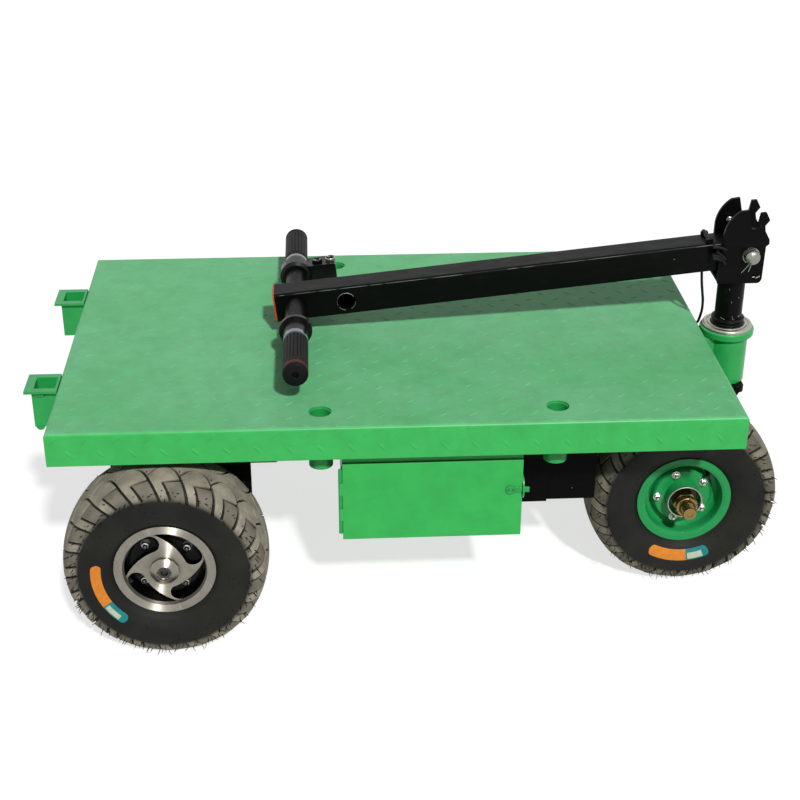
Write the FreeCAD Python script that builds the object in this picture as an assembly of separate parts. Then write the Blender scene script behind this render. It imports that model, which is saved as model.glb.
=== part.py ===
import FreeCAD, Part
import math
import os

from FreeCAD import Placement, Rotation, Vector

# Electric platform trolley. +X points to the steered end, +Z is up, and the floor is z = 0.
# The origin lies on the floor, under the middle of the whole trolley.

# Deck: one folded checker sheet with a skirt on all four sides
deck_length = 1200.0
deck_width = 770.0
skirt_depth = 62.0
deck_sheet = 4.0
bend_radius = 6.0
tyre_clearance = 19.0

# Stake sockets: holes in the deck with an open tube under each
stake_hole_radius = 20.0
stake_tube_radius = 21.2
stake_tube_wall = 3.2
stake_tube_length = 100.0
stake_inset = 60.0
stake_spacing = 413.0
stake_rail_gap = 10.0
stake_rear_right = -136.0
stake_rear_left = -97.0

# Ladder frame under the deck
rail_width = 50.0
rail_height = 50.0
rail_wall = 3.0
rail_offset = 225.0
cross_width = 40.0
cross_places = (-560.0, -235.0, 228.0, 470.0)

# Rear sockets for a push rail
socket_offset = 191.0
socket_reach = 58.0
socket_flange_width = 70.0
socket_flange = 5.0
socket_outer = (46.0, 52.0)
socket_wall = 4.0
socket_depth = 74.0

# Tyres and rims
tyre_radius = 181.0
tyre_width = 144.0
tread_width = 104.0
rim_radius = 89.0
bead_radius = rim_radius + 1.0
flange_sheet = 3.0
rim_half_width = 57.0
barrel_radius = 77.0
barrel_wall = 5.0
bead_fit = 0.2
rear_track = 702.0
rear_axle_place = -413.0
front_track = 336.0
axle_trail = 111.0

# Rear rim face: four swept spokes that rise to a boss with a hexagon recess
spoke_count = 4
spoke_ring_radius = 71.0
spoke_thickness = 12.0
spoke_set_in = 6.0
spoke_rise = 4.0
boss_radius = 25.0
boss_tip_radius = 20.0
boss_rise = 11.0
boss_recess_radius = 12.5
boss_recess = 5.0

# Rear hub and brake drum
drum_radius = 66.0
drum_depth = 42.0
drum_set_in = 26.0
shaft_radius = 15.0
running_gap = 0.05
side_gap = 0.5

# Front rim: a pressed dish with a trough round its raised middle, on a bolted hub
trough_depth = 32.0
trough_inner = 58.0
middle_depth = 17.0
dish_sheet = 4.0
hub_tube_radius = 33.0
hub_tube_wall = 3.0
hub_tube_proud = 8.0
hub_bore_length = 60.0
spindle_radius = 12.5
front_nut_radius = 20.5
front_nut_length = 18.0
spindle_proud = 50.0

# Rear axle
axle_tube_radius = 30.0
gear_case_radius = 88.0
gear_case_width = 110.0
motor_radius = 66.0
motor_length = 120.0
motor_above = 52.0
hanger_sheet = 8.0
hanger_front = 150.0
hanger_corner = 56.0
hanger_rear = 100.0

# Battery box with a side door
box_rear = -100.0
box_length = 317.0
box_depth = 420.0
box_height = 178.0
box_drop = 10.0
box_sheet = 3.0
door_inset = 27.0
door_sheet = 4.0
door_drop = 24.0
door_gap = 1.0
box_lip = 14.0
hinge_radius = 3.5
hinge_pin_radius = 1.5
hinge_knuckles = 5
hinge_inset = 12.0
hinge_leaf = 12.0
battery_size = (296.0, 362.0, 152.0)

# Controller case between the battery box and the front wheels
case_gap = 12.0
case_length = 50.0
case_width = 105.0
case_outer = 250.0
case_step = 7.0
case_height = 186.0
case_wheel_gap = 10.0

# Head tube and steering column
column_radius = 26.0
head_bore = column_radius + 6.0
head_radius = head_bore + 10.0
head_length = 95.0
ring_radius = head_radius + 10.0
column_ahead = ring_radius + 4.0
ring_drop = 19.0
ring_thickness = 14.0
bearing_radius = head_radius + 6.0
bearing_thickness = 6.0
collar_radius = column_radius + 4.0
collar_height = 16.0
column_above_deck = 100.0
crown_gap = 0.5

# Yoke and front axle
yoke_sheet = 10.0
yoke_half_width = 52.0
crown_thickness = 12.0
crown_ahead = 34.0
crown_behind = 70.0
front_beam = 50.0
beam_end_gap = 8.0

# Tiller bracket: two notched plates
arm_side = 56.0
bracket_half_gap = max(arm_side / 2 + 3.0, column_radius + 5.0)
bracket_sheet = 6.0
pivot_ahead = 20.0
pivot_above_column = 55.0
pivot_pin_radius = 7.0
pivot_washer_radius = 16.0
pivot_washer = 2.5

# Tiller arm, folded back over the deck
arm_wall = 3.0
arm_corner = 5.0
arm_length = 895.0
arm_tail = 22.0
fold_angle = 6.0
arm_cap = 3.0
arm_hole_radius = 17.0
arm_hole_from_pivot = 762.0
cable_exit_from_pivot = 84.9
lock_from_pivot = 74.0
lock_pin_radius = 4.0
lock_lug_height = 9.0
lock_hook_sheet = 1.6

# Handle bar
bar_from_pivot = 857.0
bar_radius = 13.0
bar_socket_radius = 20.0
bar_socket_gap = 3.0
grip_radius = 22.5
grip_end_right = 311.0
grip_start_right = 182.0
grip_end_left = 322.0
grip_start_left = 190.0
grip_skin = 5.0
sleeve_radius = 21.0
collar_face = 125.0
collar_disc_radius = 30.0
collar_disc = 12.0
throttle_face = 112.0
throttle_length = 34.0
throttle_radius = 31.0
switch_size = (57.0, 44.0, 34.0)
switch_ahead = 22.0

# Cable from the arm to the deck, with a grommet where it leaves each
cable_radius = 2.6
grommet_radius = 6.0
grommet_flange = 8.0
grommet_lip = 2.5
cable_seat_gap = 0.4

# Worked-out places
wheel_front_reach = column_ahead + deck_length / 2 - axle_trail + tyre_radius
rear_reach = deck_length / 2 + socket_reach
front_reach = max(wheel_front_reach, deck_length / 2 + column_ahead + ring_radius)
deck_mid = (rear_reach - front_reach) / 2
deck_rear = deck_mid - deck_length / 2
deck_front = deck_mid + deck_length / 2
deck_side = deck_width / 2
rail_outer = rail_offset + rail_width / 2
stake_side = max(deck_side - stake_inset, rail_outer + stake_tube_radius + stake_rail_gap)
deck_top = 2 * tyre_radius + tyre_clearance + skirt_depth
under_deck = deck_top - deck_sheet
rail_bottom = under_deck - rail_height
stake_tube_bottom = under_deck - stake_tube_length
box_top = rail_bottom - box_drop
box_bottom = box_top - box_height
door_top = box_top - door_drop
case_bottom = rail_bottom - case_height
ring_bottom = deck_top - ring_drop
head_bottom = ring_bottom - head_length
column_top = deck_top + column_above_deck
pivot_height = column_top + pivot_above_column
column_x = deck_front + column_ahead
front_axle_x = column_x - axle_trail
rear_axle_x = deck_mid + rear_axle_place
wheel_z = tyre_radius
pivot_x = column_x + pivot_ahead
sides = ((-1, "right"), (1, "left"))
X = Vector(1, 0, 0)
Y = Vector(0, 1, 0)
Z = Vector(0, 0, 1)


def save(node, shape):
    shape = shape.removeSplitter() if len(shape.Solids) == 1 else shape
    shape.exportStep("parts/" + node + ".step")


def block(x0, x1, y0, y1, z0, z1):
    return Part.makeBox(x1 - x0, y1 - y0, z1 - z0, Vector(x0, y0, z0))


def rod(start, direction, radius, length):
    return Part.makeCylinder(radius, length, start, direction)


def pipe(start, direction, radius, wall, length):
    return rod(start, direction, radius, length).cut(rod(start, direction, radius - wall, length))


def polygon(points):
    return Part.makePolygon([Vector(*p) for p in points] + [Vector(*points[0])])


def prism(points, direction):
    return Part.Face(polygon(points)).extrude(direction)


def turned(profile, centre, axis):
    """Turn a profile of (along, radius) points about the axis through centre."""
    points = [centre + axis * along + Z * radius for along, radius in profile]
    return Part.Face(Part.makePolygon(points + [points[0]])).revolve(centre, axis, 360)


def round_edges(shape, radius, wanted):
    edges = [e for e in shape.Edges if wanted(e)]
    return shape.makeFillet(radius, edges) if edges else shape


def is_along(edge, direction):
    if not isinstance(edge.Curve, Part.Line):
        return False
    return edge.Curve.Direction.cross(direction).Length < 1e-6


def rounded_bar(size_y, size_z, corner, length):
    """A bar with rounded edges that runs along +X from the origin, centred on it."""
    bar = block(0, length, -size_y / 2, size_y / 2, -size_z / 2, size_z / 2)
    return round_edges(bar, corner, lambda e: is_along(e, X))


# ---------------------------------------------------------------- deck and frame
def stake_places():
    y = stake_side
    places = []
    for side, rear in ((-1, stake_rear_right), (1, stake_rear_left)):
        for step in (0, 1):
            places.append(Vector(deck_mid + rear + step * stake_spacing, side * y, 0))
    return places


def deck_plate():
    outer = block(deck_rear, deck_front, -deck_side, deck_side, deck_top - skirt_depth, deck_top)
    outer = round_edges(outer, bend_radius, lambda e: e.BoundBox.ZMin > deck_top - 1)
    inner = block(deck_rear + deck_sheet, deck_front - deck_sheet, -deck_side + deck_sheet,
                  deck_side - deck_sheet, deck_top - skirt_depth, under_deck)
    plate = outer.cut(inner)
    for place in stake_places():
        plate = plate.cut(rod(place + Z * (deck_top - 20), Z, stake_hole_radius, 40))
    return plate


def stake_tubes():
    tubes = []
    for place in stake_places():
        start = place + Z * stake_tube_bottom
        tubes.append(pipe(start, Z, stake_tube_radius, stake_tube_wall, under_deck - stake_tube_bottom))
    return Part.makeCompound(tubes)


def frame_rails():
    rails = []
    x0, x1 = deck_rear + deck_sheet, deck_front - deck_sheet
    for side, _ in sides:
        y0 = side * rail_offset - rail_width / 2
        rail = block(x0, x1, y0, y0 + rail_width, rail_bottom, under_deck)
        hollow = block(x0, x1, y0 + rail_wall, y0 + rail_width - rail_wall,
                       rail_bottom + rail_wall, under_deck - rail_wall)
        rails.append(rail.cut(hollow))
    return Part.makeCompound(rails)


def cross_members():
    inner = rail_offset - rail_width / 2
    outer = rail_outer
    spans = ((-inner, inner), (-deck_side + deck_sheet, -outer), (outer, deck_side - deck_sheet))
    members = []
    for place in cross_places:
        x0 = deck_mid + place - cross_width / 2
        for y0, y1 in spans:
            bar = block(x0, x0 + cross_width, y0, y1, rail_bottom, under_deck)
            members.append(bar.cut(block(x0 + rail_wall, x0 + cross_width - rail_wall, y0, y1,
                                         rail_bottom + rail_wall, under_deck - rail_wall)))
    return Part.makeCompound(members)


def rear_socket(side):
    y = side * socket_offset
    size_x, size_y = socket_outer
    x1 = deck_rear
    x0 = x1 - size_x
    z0 = deck_top - socket_depth
    tube = block(x0, x1, y - size_y / 2, y + size_y / 2, z0, deck_top - socket_flange)
    flange = block(deck_rear - socket_reach, x1, y - socket_flange_width / 2,
                   y + socket_flange_width / 2, deck_top - socket_flange, deck_top)
    hole = block(x0 + socket_wall, x1 - socket_wall, y - size_y / 2 + socket_wall,
                 y + size_y / 2 - socket_wall, z0 - 1, deck_top + 1)
    return tube.fuse(flange).cut(hole)


# ---------------------------------------------------------------- battery box and case
box_x0 = deck_mid + box_rear
box_x1 = box_x0 + box_length
door_face = -deck_side + door_inset
box_y0 = door_face + door_sheet + door_gap
box_y1 = box_y0 + box_depth


def battery_box():
    shell = block(box_x0, box_x1, box_y0, box_y1, box_bottom, box_top)
    hollow = block(box_x0 + box_sheet, box_x1 - box_sheet, box_y0 + box_sheet, box_y1 - box_sheet,
                   box_bottom + box_sheet, box_top - box_sheet)
    doorway = block(box_x0 + box_lip, box_x1 - box_lip, box_y0 - 1, box_y0 + 2 * box_sheet,
                    box_bottom + box_lip, door_top - box_lip)
    hanger = block(box_x0, box_x1, -rail_offset - rail_width / 2, box_y1, box_top, rail_bottom)
    return shell.cut([hollow, doorway]).fuse(hanger)


hinge_x = box_x0 - hinge_radius
hinge_y = door_face + hinge_radius
hinge_step = (door_top - box_bottom - 2 * hinge_inset) / hinge_knuckles


def knuckle(index, bore):
    start = Vector(hinge_x, hinge_y, box_bottom + hinge_inset + index * hinge_step + side_gap / 2)
    barrel = rod(start, Z, hinge_radius, hinge_step - side_gap)
    return barrel.cut(rod(start - Z, Z, bore, hinge_step + 2))


def battery_door():
    """Flat door with every second knuckle welded on its edge by a short leaf."""
    door = block(box_x0, box_x1, door_face, door_face + door_sheet, box_bottom, door_top)
    door = round_edges(door, 1.2, lambda e: e.BoundBox.YMax < door_face + 0.5)
    for index in range(1, hinge_knuckles, 2):
        z0 = box_bottom + hinge_inset + index * hinge_step + side_gap / 2
        leaf = block(hinge_x, box_x0 + 0.5, door_face, door_face + 1.5, z0, z0 + hinge_step - side_gap)
        door = door.fuse([knuckle(index, hinge_pin_radius + running_gap), leaf])
    return door.cut(rod(Vector(hinge_x, hinge_y, box_bottom), Z, hinge_pin_radius + running_gap, 400))


def door_hinge():
    """Box side of the hinge: the other knuckles on their pin, with the leaf on the box wall."""
    z0 = box_bottom + hinge_inset + side_gap / 2
    height = hinge_knuckles * hinge_step - side_gap
    hinge = rod(Vector(hinge_x, hinge_y, z0), Z, hinge_pin_radius, height)
    for index in range(0, hinge_knuckles, 2):
        z = z0 + index * hinge_step
        leaf = block(box_x0 - 1.5, box_x0, box_y0 + 0.2, box_y0 + hinge_leaf, z, z + hinge_step - side_gap)
        hinge = hinge.fuse([knuckle(index, hinge_pin_radius - 1), leaf])
    return hinge


hasp_z = (box_bottom + door_top) / 2 + 18


def hasp_plate():
    """Round plate riveted to the door; its tongue passes the staple's slot beside the door."""
    x = box_x1 - 21
    disc = rod(Vector(x, door_face, hasp_z), -Y, 9, 2.5)
    tongue = block(x, box_x1 + 12, door_face - 2.5, door_face, hasp_z - 5, hasp_z + 5)
    return disc.fuse(tongue)


def hasp_staple():
    """Curved plate on the box side, slotted for the tongue."""
    arc = rod(Vector(box_x1, box_y0 + 12, hasp_z), X, 24, 3)
    plate = arc.common(block(box_x1, box_x1 + 3, box_y0 - 14, box_y0 + 30, hasp_z - 20, hasp_z + 20))
    slot = block(box_x1 - 1, box_x1 + 4, door_face - 4.5, door_face + 2, hasp_z - 7, hasp_z + 7)
    return plate.cut(slot)


def battery_block():
    size_x, size_y, size_z = battery_size
    x0 = (box_x0 + box_x1 - size_x) / 2
    y1 = box_y1 - box_sheet - 4
    z0 = box_bottom + box_sheet
    return block(x0, x0 + size_x, y1 - size_y, y1, z0, z0 + size_z)


def controller_case():
    """Closed case whose front end keeps clear of the front tyre at full lock."""
    rear = box_x1 + case_gap
    sweep = math.hypot(axle_trail + tyre_radius, (front_track + tread_width) / 2) + case_wheel_gap
    reach = lambda y: column_x - math.sqrt(sweep ** 2 - y ** 2)
    outer, step, inner = -case_outer, case_step - case_outer, case_width - case_outer
    outline = [(rear, outer), (rear + case_length, outer), (rear + case_length, step), (reach(step), step),
               (reach(inner), inner), (rear, inner)]
    return prism([(x, y, case_bottom) for x, y in outline], Z * case_height)


# ---------------------------------------------------------------- wheels
def tyre(centre, outward):
    """Round shouldered tyre on its beads; outward is the wheel's outer direction along Y."""
    half = tyre_width / 2
    tread = tread_width / 2
    crown = tyre_radius
    bead = rim_half_width - flange_sheet
    seat = barrel_radius + bead_fit
    at = lambda along, radius: centre + outward * along + Z * radius
    edges = [
        Part.Arc(at(-tread, crown - 6), at(0, crown), at(tread, crown - 6)),
        Part.Arc(at(tread, crown - 6), at(half - 6, crown - 17), at(half, crown - 33)),
        Part.Arc(at(half, crown - 33), at(half - 2, bead_radius + 24), at(bead, bead_radius)),
        Part.LineSegment(at(bead, bead_radius), at(bead, seat)),
        Part.LineSegment(at(bead, seat), at(-bead, seat)),
        Part.LineSegment(at(-bead, seat), at(-bead, bead_radius)),
        Part.Arc(at(-bead, bead_radius), at(-half + 2, bead_radius + 24), at(-half, crown - 33)),
        Part.Arc(at(-half, crown - 33), at(-half + 6, crown - 17), at(-tread, crown - 6)),
    ]
    wire = Part.Wire([e.toShape() for e in edges])
    return Part.Face(wire).revolve(centre, Y, 360)


def rim_section(face):
    """Barrel and bead flanges; face is the outline between the two flange lips, outer side first."""
    half = rim_half_width
    bead = half - flange_sheet
    inner = barrel_radius - barrel_wall
    return [(-half, inner + 4), (-half, rim_radius), (-bead, rim_radius), (-bead, barrel_radius),
            (bead, barrel_radius), (bead, rim_radius), (half, rim_radius)] + face + [(-half + 4, inner)]


def spoke_opening(centre, outward, turn):
    """One comma-shaped opening: round at its leading end, drawn out to a point behind."""
    ring = spoke_ring_radius

    def at(degrees, radius):
        angle = math.radians(degrees + turn)
        return centre + Vector(-outward.y * math.cos(angle) * radius, 0, math.sin(angle) * radius)
    edges = [
        Part.Arc(at(103, ring), at(62, ring), at(24, ring)),
        Part.Arc(at(24, ring), at(8, 0.8 * ring), at(18, 0.56 * ring)),
        Part.Arc(at(18, 0.56 * ring), at(56, 0.62 * ring), at(103, ring)),
    ]
    face = Part.Face(Part.Wire([e.toShape() for e in edges]))
    return face.extrude(outward * (rim_half_width + boss_rise))


def hexagon(centre, radius, direction, length):
    corners = [centre + Vector(math.cos(k * math.pi / 3) * radius, 0, math.sin(k * math.pi / 3) * radius)
               for k in range(6)]
    return prism(corners, direction * length)


def rear_rim(centre, outward):
    half = rim_half_width
    face_out = half - spoke_set_in
    face_in = face_out - spoke_thickness
    boss_foot = face_out + spoke_rise
    tip = boss_foot + boss_rise
    face = [(half, spoke_ring_radius + 3), (face_out, spoke_ring_radius), (boss_foot, boss_radius),
            (tip, boss_tip_radius), (tip, 0), (face_in, 0), (face_in, barrel_radius - barrel_wall)]
    rim = turned(rim_section(face), centre, outward)
    for index in range(spoke_count):
        rim = rim.cut(spoke_opening(centre, outward, index * 360.0 / spoke_count))
    recess = hexagon(centre + outward * (tip - boss_recess), boss_recess_radius, outward, boss_recess + 1)
    return rim.cut(recess)


def rear_hub(centre, outward):
    """Brake drum with the drive shaft's end, behind the spokes."""
    start = rim_half_width - spoke_set_in - spoke_thickness
    face = rim_half_width - drum_set_in
    profile = [(start, 0), (start, 26), (face, 34), (face, drum_radius - 4), (face - 4, drum_radius),
               (face - drum_depth, drum_radius), (face - drum_depth, drum_radius - 6),
               (face - 8, drum_radius - 6), (face - 8, shaft_radius), (-120, shaft_radius), (-120, 0)]
    return turned(profile, centre, outward)


def front_rim(centre, outward):
    """Pressed dish: bead lip, trough, raised middle, and a bore that seats on the hub tube."""
    half = rim_half_width
    trough = half - trough_depth
    middle = half - middle_depth
    back = dish_sheet
    inner = barrel_radius - barrel_wall
    bore = hub_tube_radius
    wall = trough_inner
    face = [(half, inner + 7), (half - 2, inner + 1.5), (half - 7, inner), (trough + 6, inner),
            (trough, inner - 4), (trough, wall + 3), (trough + 3, wall), (middle - 3, wall - 3),
            (middle, wall - 6), (middle, bore), (middle - back, bore), (middle - back, wall - 9),
            (trough - back + 2, wall - 3), (trough - back, wall + 1), (trough - back, inner)]
    return turned(rim_section(face), centre, outward)


def front_hub(centre, outward):
    """Hub tube through the rim's middle, with the bolt flange behind it and the axle's bore."""
    half = rim_half_width
    seat = half - middle_depth - dish_sheet
    tip = half + hub_tube_proud
    r = hub_tube_radius
    inside = r - hub_tube_wall
    bore = spindle_radius + running_gap
    floor = tip - 20
    profile = [(tip - 1, r), (tip, r - 1), (tip, inside + 1), (tip - 1, inside), (floor, inside), (floor, bore),
               (floor - hub_bore_length, bore), (floor - hub_bore_length, r - 6), (seat - 24, r),
               (seat - 8, trough_inner - 12), (seat, trough_inner - 12), (seat, r)]
    return turned(profile, centre, outward)


# ---------------------------------------------------------------- rear axle
def rear_axle_housing():
    reach = rear_track / 2 - (drum_set_in + drum_depth - rim_half_width) - 32
    half = gear_case_width / 2
    tubes = []
    for side, _ in sides:
        start = Vector(rear_axle_x, side * half, wheel_z)
        tube = rod(start, Y * side, axle_tube_radius, reach - half)
        bore = rod(start, Y * side, shaft_radius + running_gap, reach)
        tubes.append(tube.cut(bore))
    return Part.makeCompound(tubes)


def gear_case():
    half = gear_case_width / 2
    centre = Vector(rear_axle_x, 0, wheel_z)
    r = gear_case_radius
    profile = [(-half, 0), (-half, axle_tube_radius + 8), (-half + 14, r - 22), (-half + 34, r),
               (half - 34, r), (half - 14, r - 22), (half, axle_tube_radius + 8), (half, 0)]
    return turned(profile, centre, Y)


def drive_motor():
    start = Vector(rear_axle_x + gear_case_radius - 14, 0, wheel_z + motor_above)
    body = rod(start, X, motor_radius, motor_length)
    body = round_edges(body, 8, lambda e: abs(e.BoundBox.XMin - (start.x + motor_length)) < 0.1
                       and e.BoundBox.XLength < 0.1)
    neck = gear_case()
    return body.cut(neck)


def axle_hangers():
    plates = []
    top = under_deck - 6
    low = wheel_z - 6
    middle = rail_outer + hanger_sheet / 2
    for side, _ in sides:
        y = side * middle - hanger_sheet / 2
        x = rear_axle_x
        outline = [(x - hanger_rear, y, top), (x + hanger_front, y, top),
                   (x + hanger_front, y, wheel_z + hanger_corner), (x + 50, y, low), (x - 50, y, low),
                   (x - hanger_rear, y, wheel_z + hanger_corner + 30)]
        plate = prism(outline, Y * hanger_sheet)
        plates.append(plate.cut(rod(Vector(x, y - 1, wheel_z), Y, axle_tube_radius, hanger_sheet + 2)))
    return Part.makeCompound(plates)


# ---------------------------------------------------------------- head tube and steering
def head_tube():
    foot = Vector(column_x, 0, head_bottom)
    tube = rod(foot, Z, head_radius, ring_bottom - head_bottom)
    ring = rod(foot + Z * (ring_bottom - head_bottom), Z, ring_radius, ring_thickness)
    ring = round_edges(ring, 3, lambda e: e.BoundBox.ZLength < 0.1)
    web = block(deck_front, column_x, -30, 30, head_bottom + 56, ring_bottom)
    return tube.fuse([ring, web]).cut(rod(foot - Z, Z, head_bore, 200))


def head_bearing():
    foot = Vector(column_x, 0, ring_bottom + ring_thickness)
    race = rod(foot, Z, bearing_radius, bearing_thickness)
    race = round_edges(race, 2, lambda e: e.BoundBox.ZMin > foot.z + bearing_thickness - 0.1)
    return race.cut(rod(foot - Z, Z, column_radius + running_gap, 20))


bearing_top = ring_bottom + ring_thickness + bearing_thickness


def steering_column():
    shaft = rod(Vector(column_x, 0, head_bottom - crown_gap), Z, column_radius,
                column_top - head_bottom + crown_gap)
    collar = rod(Vector(column_x, 0, bearing_top + 0.3), Z, collar_radius, collar_height)
    collar = round_edges(collar, 3, lambda e: e.BoundBox.ZLength < 0.1)
    return shaft.fuse(collar)


def steering_yoke():
    """Crown plate under the head tube with two swept side plates down to the axle beam."""
    top = head_bottom - crown_gap
    half = yoke_half_width
    crown = block(column_x - crown_behind, column_x + crown_ahead, -half, half, top - crown_thickness, top)
    crown = round_edges(crown, 12, lambda e: is_along(e, Z))
    z = wheel_z
    x = front_axle_x
    outline = [(column_x + crown_ahead - 10, top - crown_thickness),
               (column_x - crown_behind + 8, top - crown_thickness),
               (x - 34, z + 52), (x - 38, z - 28), (x + 32, z - 34), (x + 62, z + 6)]
    plates = []
    for side, _ in sides:
        y = side * yoke_half_width - (yoke_sheet if side > 0 else 0)
        plates.append(prism([(px, y, pz) for px, pz in outline], Y * yoke_sheet))
    half = front_beam / 2
    notch = block(x - half, x + half, -200, 200, z - half, z + half)
    return crown.fuse(plates).cut(notch)


def front_axle():
    """Square beam with a turned spindle, shoulder and castle nut at each end."""
    half = front_track / 2
    hub_floor = rim_half_width + hub_tube_proud - 20
    hub_back = half + hub_floor - hub_bore_length
    beam_end = hub_back - beam_end_gap
    side = front_beam / 2
    beam = block(front_axle_x - side, front_axle_x + side, -beam_end, beam_end, wheel_z - side, wheel_z + side)
    beam = round_edges(beam, 4, lambda e: is_along(e, Y))
    tip = half + rim_half_width + spindle_proud
    spindle = rod(Vector(front_axle_x, -tip, wheel_z), Y, spindle_radius, 2 * tip)
    axle = beam.fuse(spindle)
    for direction, _ in sides:
        out = Y * direction
        shoulder = Vector(front_axle_x, direction * (beam_end - 1), wheel_z)
        axle = axle.fuse(rod(shoulder, out, 20, beam_end_gap + 1 - side_gap))
        nut = Vector(front_axle_x, direction * (half + hub_floor + side_gap), wheel_z)
        axle = axle.fuse(rod(nut, out, front_nut_radius - 1, spindle_proud - 30 + front_nut_length))
    return axle


def bracket_plate(side):
    """Notched plate: a rounded lobe, a locking slot, a tooth and two steps on the front edge."""
    x, z = pivot_x, pivot_height
    y = side * bracket_half_gap - (bracket_sheet if side < 0 else 0)
    at = lambda dx, dz: Vector(x + dx, y, z + dz)
    line = lambda a, b: Part.LineSegment(at(*a), at(*b)).toShape()
    arc = lambda a, b, c: Part.Arc(at(*a), at(*b), at(*c)).toShape()
    edges = [
        line((-58, -57), (-60, -12)),
        line((-60, -12), (-55, 4)),
        line((-55, 4), (-55, 34)),
        arc((-55, 34), (-46, 67), (-27, 87)),
        line((-27, 87), (-12, 89)),
        line((-12, 89), (-5, 58)),
        arc((-5, 58), (1.5, 52), (7, 60)),
        line((7, 60), (11, 83)),
        line((11, 83), (21, 84)),
        line((21, 84), (29, 69)),
        line((29, 69), (21, 58)),
        line((21, 58), (23, 47)),
        line((23, 47), (32, 31)),
        line((32, 31), (33, 22)),
        line((33, 22), (27, 17)),
        line((27, 17), (26, -47)),
        arc((26, -47), (23.5, -53.5), (17, -57)),
        line((17, -57), (-58, -57)),
    ]
    plate = Part.Face(Part.Wire(edges)).extrude(Y * bracket_sheet)
    return plate.cut(rod(Vector(x, y - 1, z), Y, pivot_pin_radius, bracket_sheet + 2))


def bracket_base():
    x0, x1 = pivot_x - 58, pivot_x + 20
    z1 = column_top + 5
    return block(x0, x1, -bracket_half_gap, bracket_half_gap, column_top, z1)


def pivot_pin():
    outer = bracket_half_gap + bracket_sheet
    pin = rod(Vector(pivot_x, -outer - 14, pivot_height), Y, pivot_pin_radius, 2 * outer + 20)
    for start, direction in ((-outer, -1), (outer, 1)):
        pin = pin.fuse(rod(Vector(pivot_x, start, pivot_height), Y * direction, pivot_washer_radius,
                           pivot_washer))
    head = rod(Vector(pivot_x, -outer - pivot_washer, pivot_height), -Y, pivot_pin_radius + 5, 7)
    return pin.fuse(head)


# ---------------------------------------------------------------- tiller
def on_arm(shape):
    """Place a shape drawn along +X from the pivot onto the folded arm."""
    turn = Rotation(Y, 180 - fold_angle)
    shape.Placement = Placement(Vector(pivot_x, 0, pivot_height), turn).multiply(shape.Placement)
    return shape


def tiller_arm():
    length = arm_length + arm_tail
    outer = rounded_bar(arm_side, arm_side, arm_corner, length)
    inside = arm_side - 2 * arm_wall
    inner = rounded_bar(inside, inside, arm_corner - arm_wall, length)
    arm = outer.cut(inner)
    arm.translate(Vector(-arm_tail, 0, 0))
    wide = arm_side
    arm = arm.cut(rod(Vector(arm_hole_from_pivot, -wide, 0), Y, arm_hole_radius, wide))
    arm = arm.cut(rod(Vector(bar_from_pivot, -wide, 0), Y, bar_radius, 2 * wide))
    bush = pipe(Vector(0, -arm_side / 2, 0), Y, pivot_pin_radius + 6, 6 - running_gap, arm_side)
    arm = arm.cut(rod(Vector(0, -wide, 0), Y, pivot_pin_radius + 6, 2 * wide)).fuse(bush)
    arm = arm.cut(rod(Vector(cable_exit_from_pivot, 0, 0), Z, grommet_radius, wide))
    return on_arm(arm)


def arm_end_cap():
    cap = rounded_bar(arm_side, arm_side, arm_corner, arm_cap)
    cap.translate(Vector(arm_length, 0, 0))
    return on_arm(cap)


def lock_pin():
    """Cross pin in two small lugs on top of the arm, and the hook plate on the arm's right side."""
    half = arm_side / 2
    top = -half - lock_lug_height
    pin = rod(Vector(lock_from_pivot, -half + 2, top + lock_pin_radius), Y, lock_pin_radius, arm_side - 3)
    for side, _ in sides:
        y = side * (half - arm_corner - 3)
        lug = block(lock_from_pivot - 7, lock_from_pivot + 7, y - 3, y + 3, top + 1, -half)
        pin = pin.fuse(round_edges(lug, 3, lambda e: is_along(e, Y) and e.BoundBox.ZMax < top + 2))
    return on_arm(pin)


def lock_hook():
    """Thin two-pronged plate that guides the lock pin, flat on the arm's right side."""
    x, y = lock_from_pivot - 8, -arm_side / 2
    outline = [(-16, 2), (-8, -10), (0, -12), (3, -7), (9, -9), (13, -5), (8, -1), (12, 4), (4, 9), (-6, 8),
               (-12, 10)]
    return on_arm(prism([(x + px, y, pz) for px, pz in outline], Y * -lock_hook_sheet))


def bar_sockets():
    """Welded sleeves that carry the handle bar out of the arm's two sides."""
    half = arm_side / 2
    sockets = []
    for side, face in ((-1, collar_face), (1, throttle_face)):
        length = face - bar_socket_gap - half
        centre = Vector(bar_from_pivot, side * half, 0)
        profile = [(0, bar_radius), (0, bar_socket_radius), (length - 4, bar_socket_radius),
                   (length, bar_socket_radius - 4), (length, bar_radius)]
        sockets.append(turned(profile, centre, Y * side))
    return on_arm(Part.makeCompound(sockets))


def handle_bar():
    start = Vector(bar_from_pivot, -grip_end_right + 6, 0)
    return on_arm(rod(start, Y, bar_radius, grip_end_right + grip_end_left - 12))


def grip(side, near, far):
    centre = Vector(bar_from_pivot, 0, 0)
    r = grip_radius
    hole = bar_radius
    profile = [(near, hole), (near, r - 1.5), (near + 2, r), (far - 5, r), (far - 1.5, r - 1.5), (far, r - 5),
               (far, 4), (far - grip_skin, 4), (far - grip_skin, hole)]
    return on_arm(turned(profile, centre, Y * side))


def grip_collar():
    centre = Vector(bar_from_pivot, 0, 0)
    r = collar_disc_radius
    far = collar_face + collar_disc
    profile = [(collar_face, bar_radius), (collar_face, r - 4), (collar_face + 3, r), (far, r),
               (far, sleeve_radius + 2), (grip_start_right, sleeve_radius),
               (grip_start_right, bar_radius)]
    return on_arm(turned(profile, centre, -Y))


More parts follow.
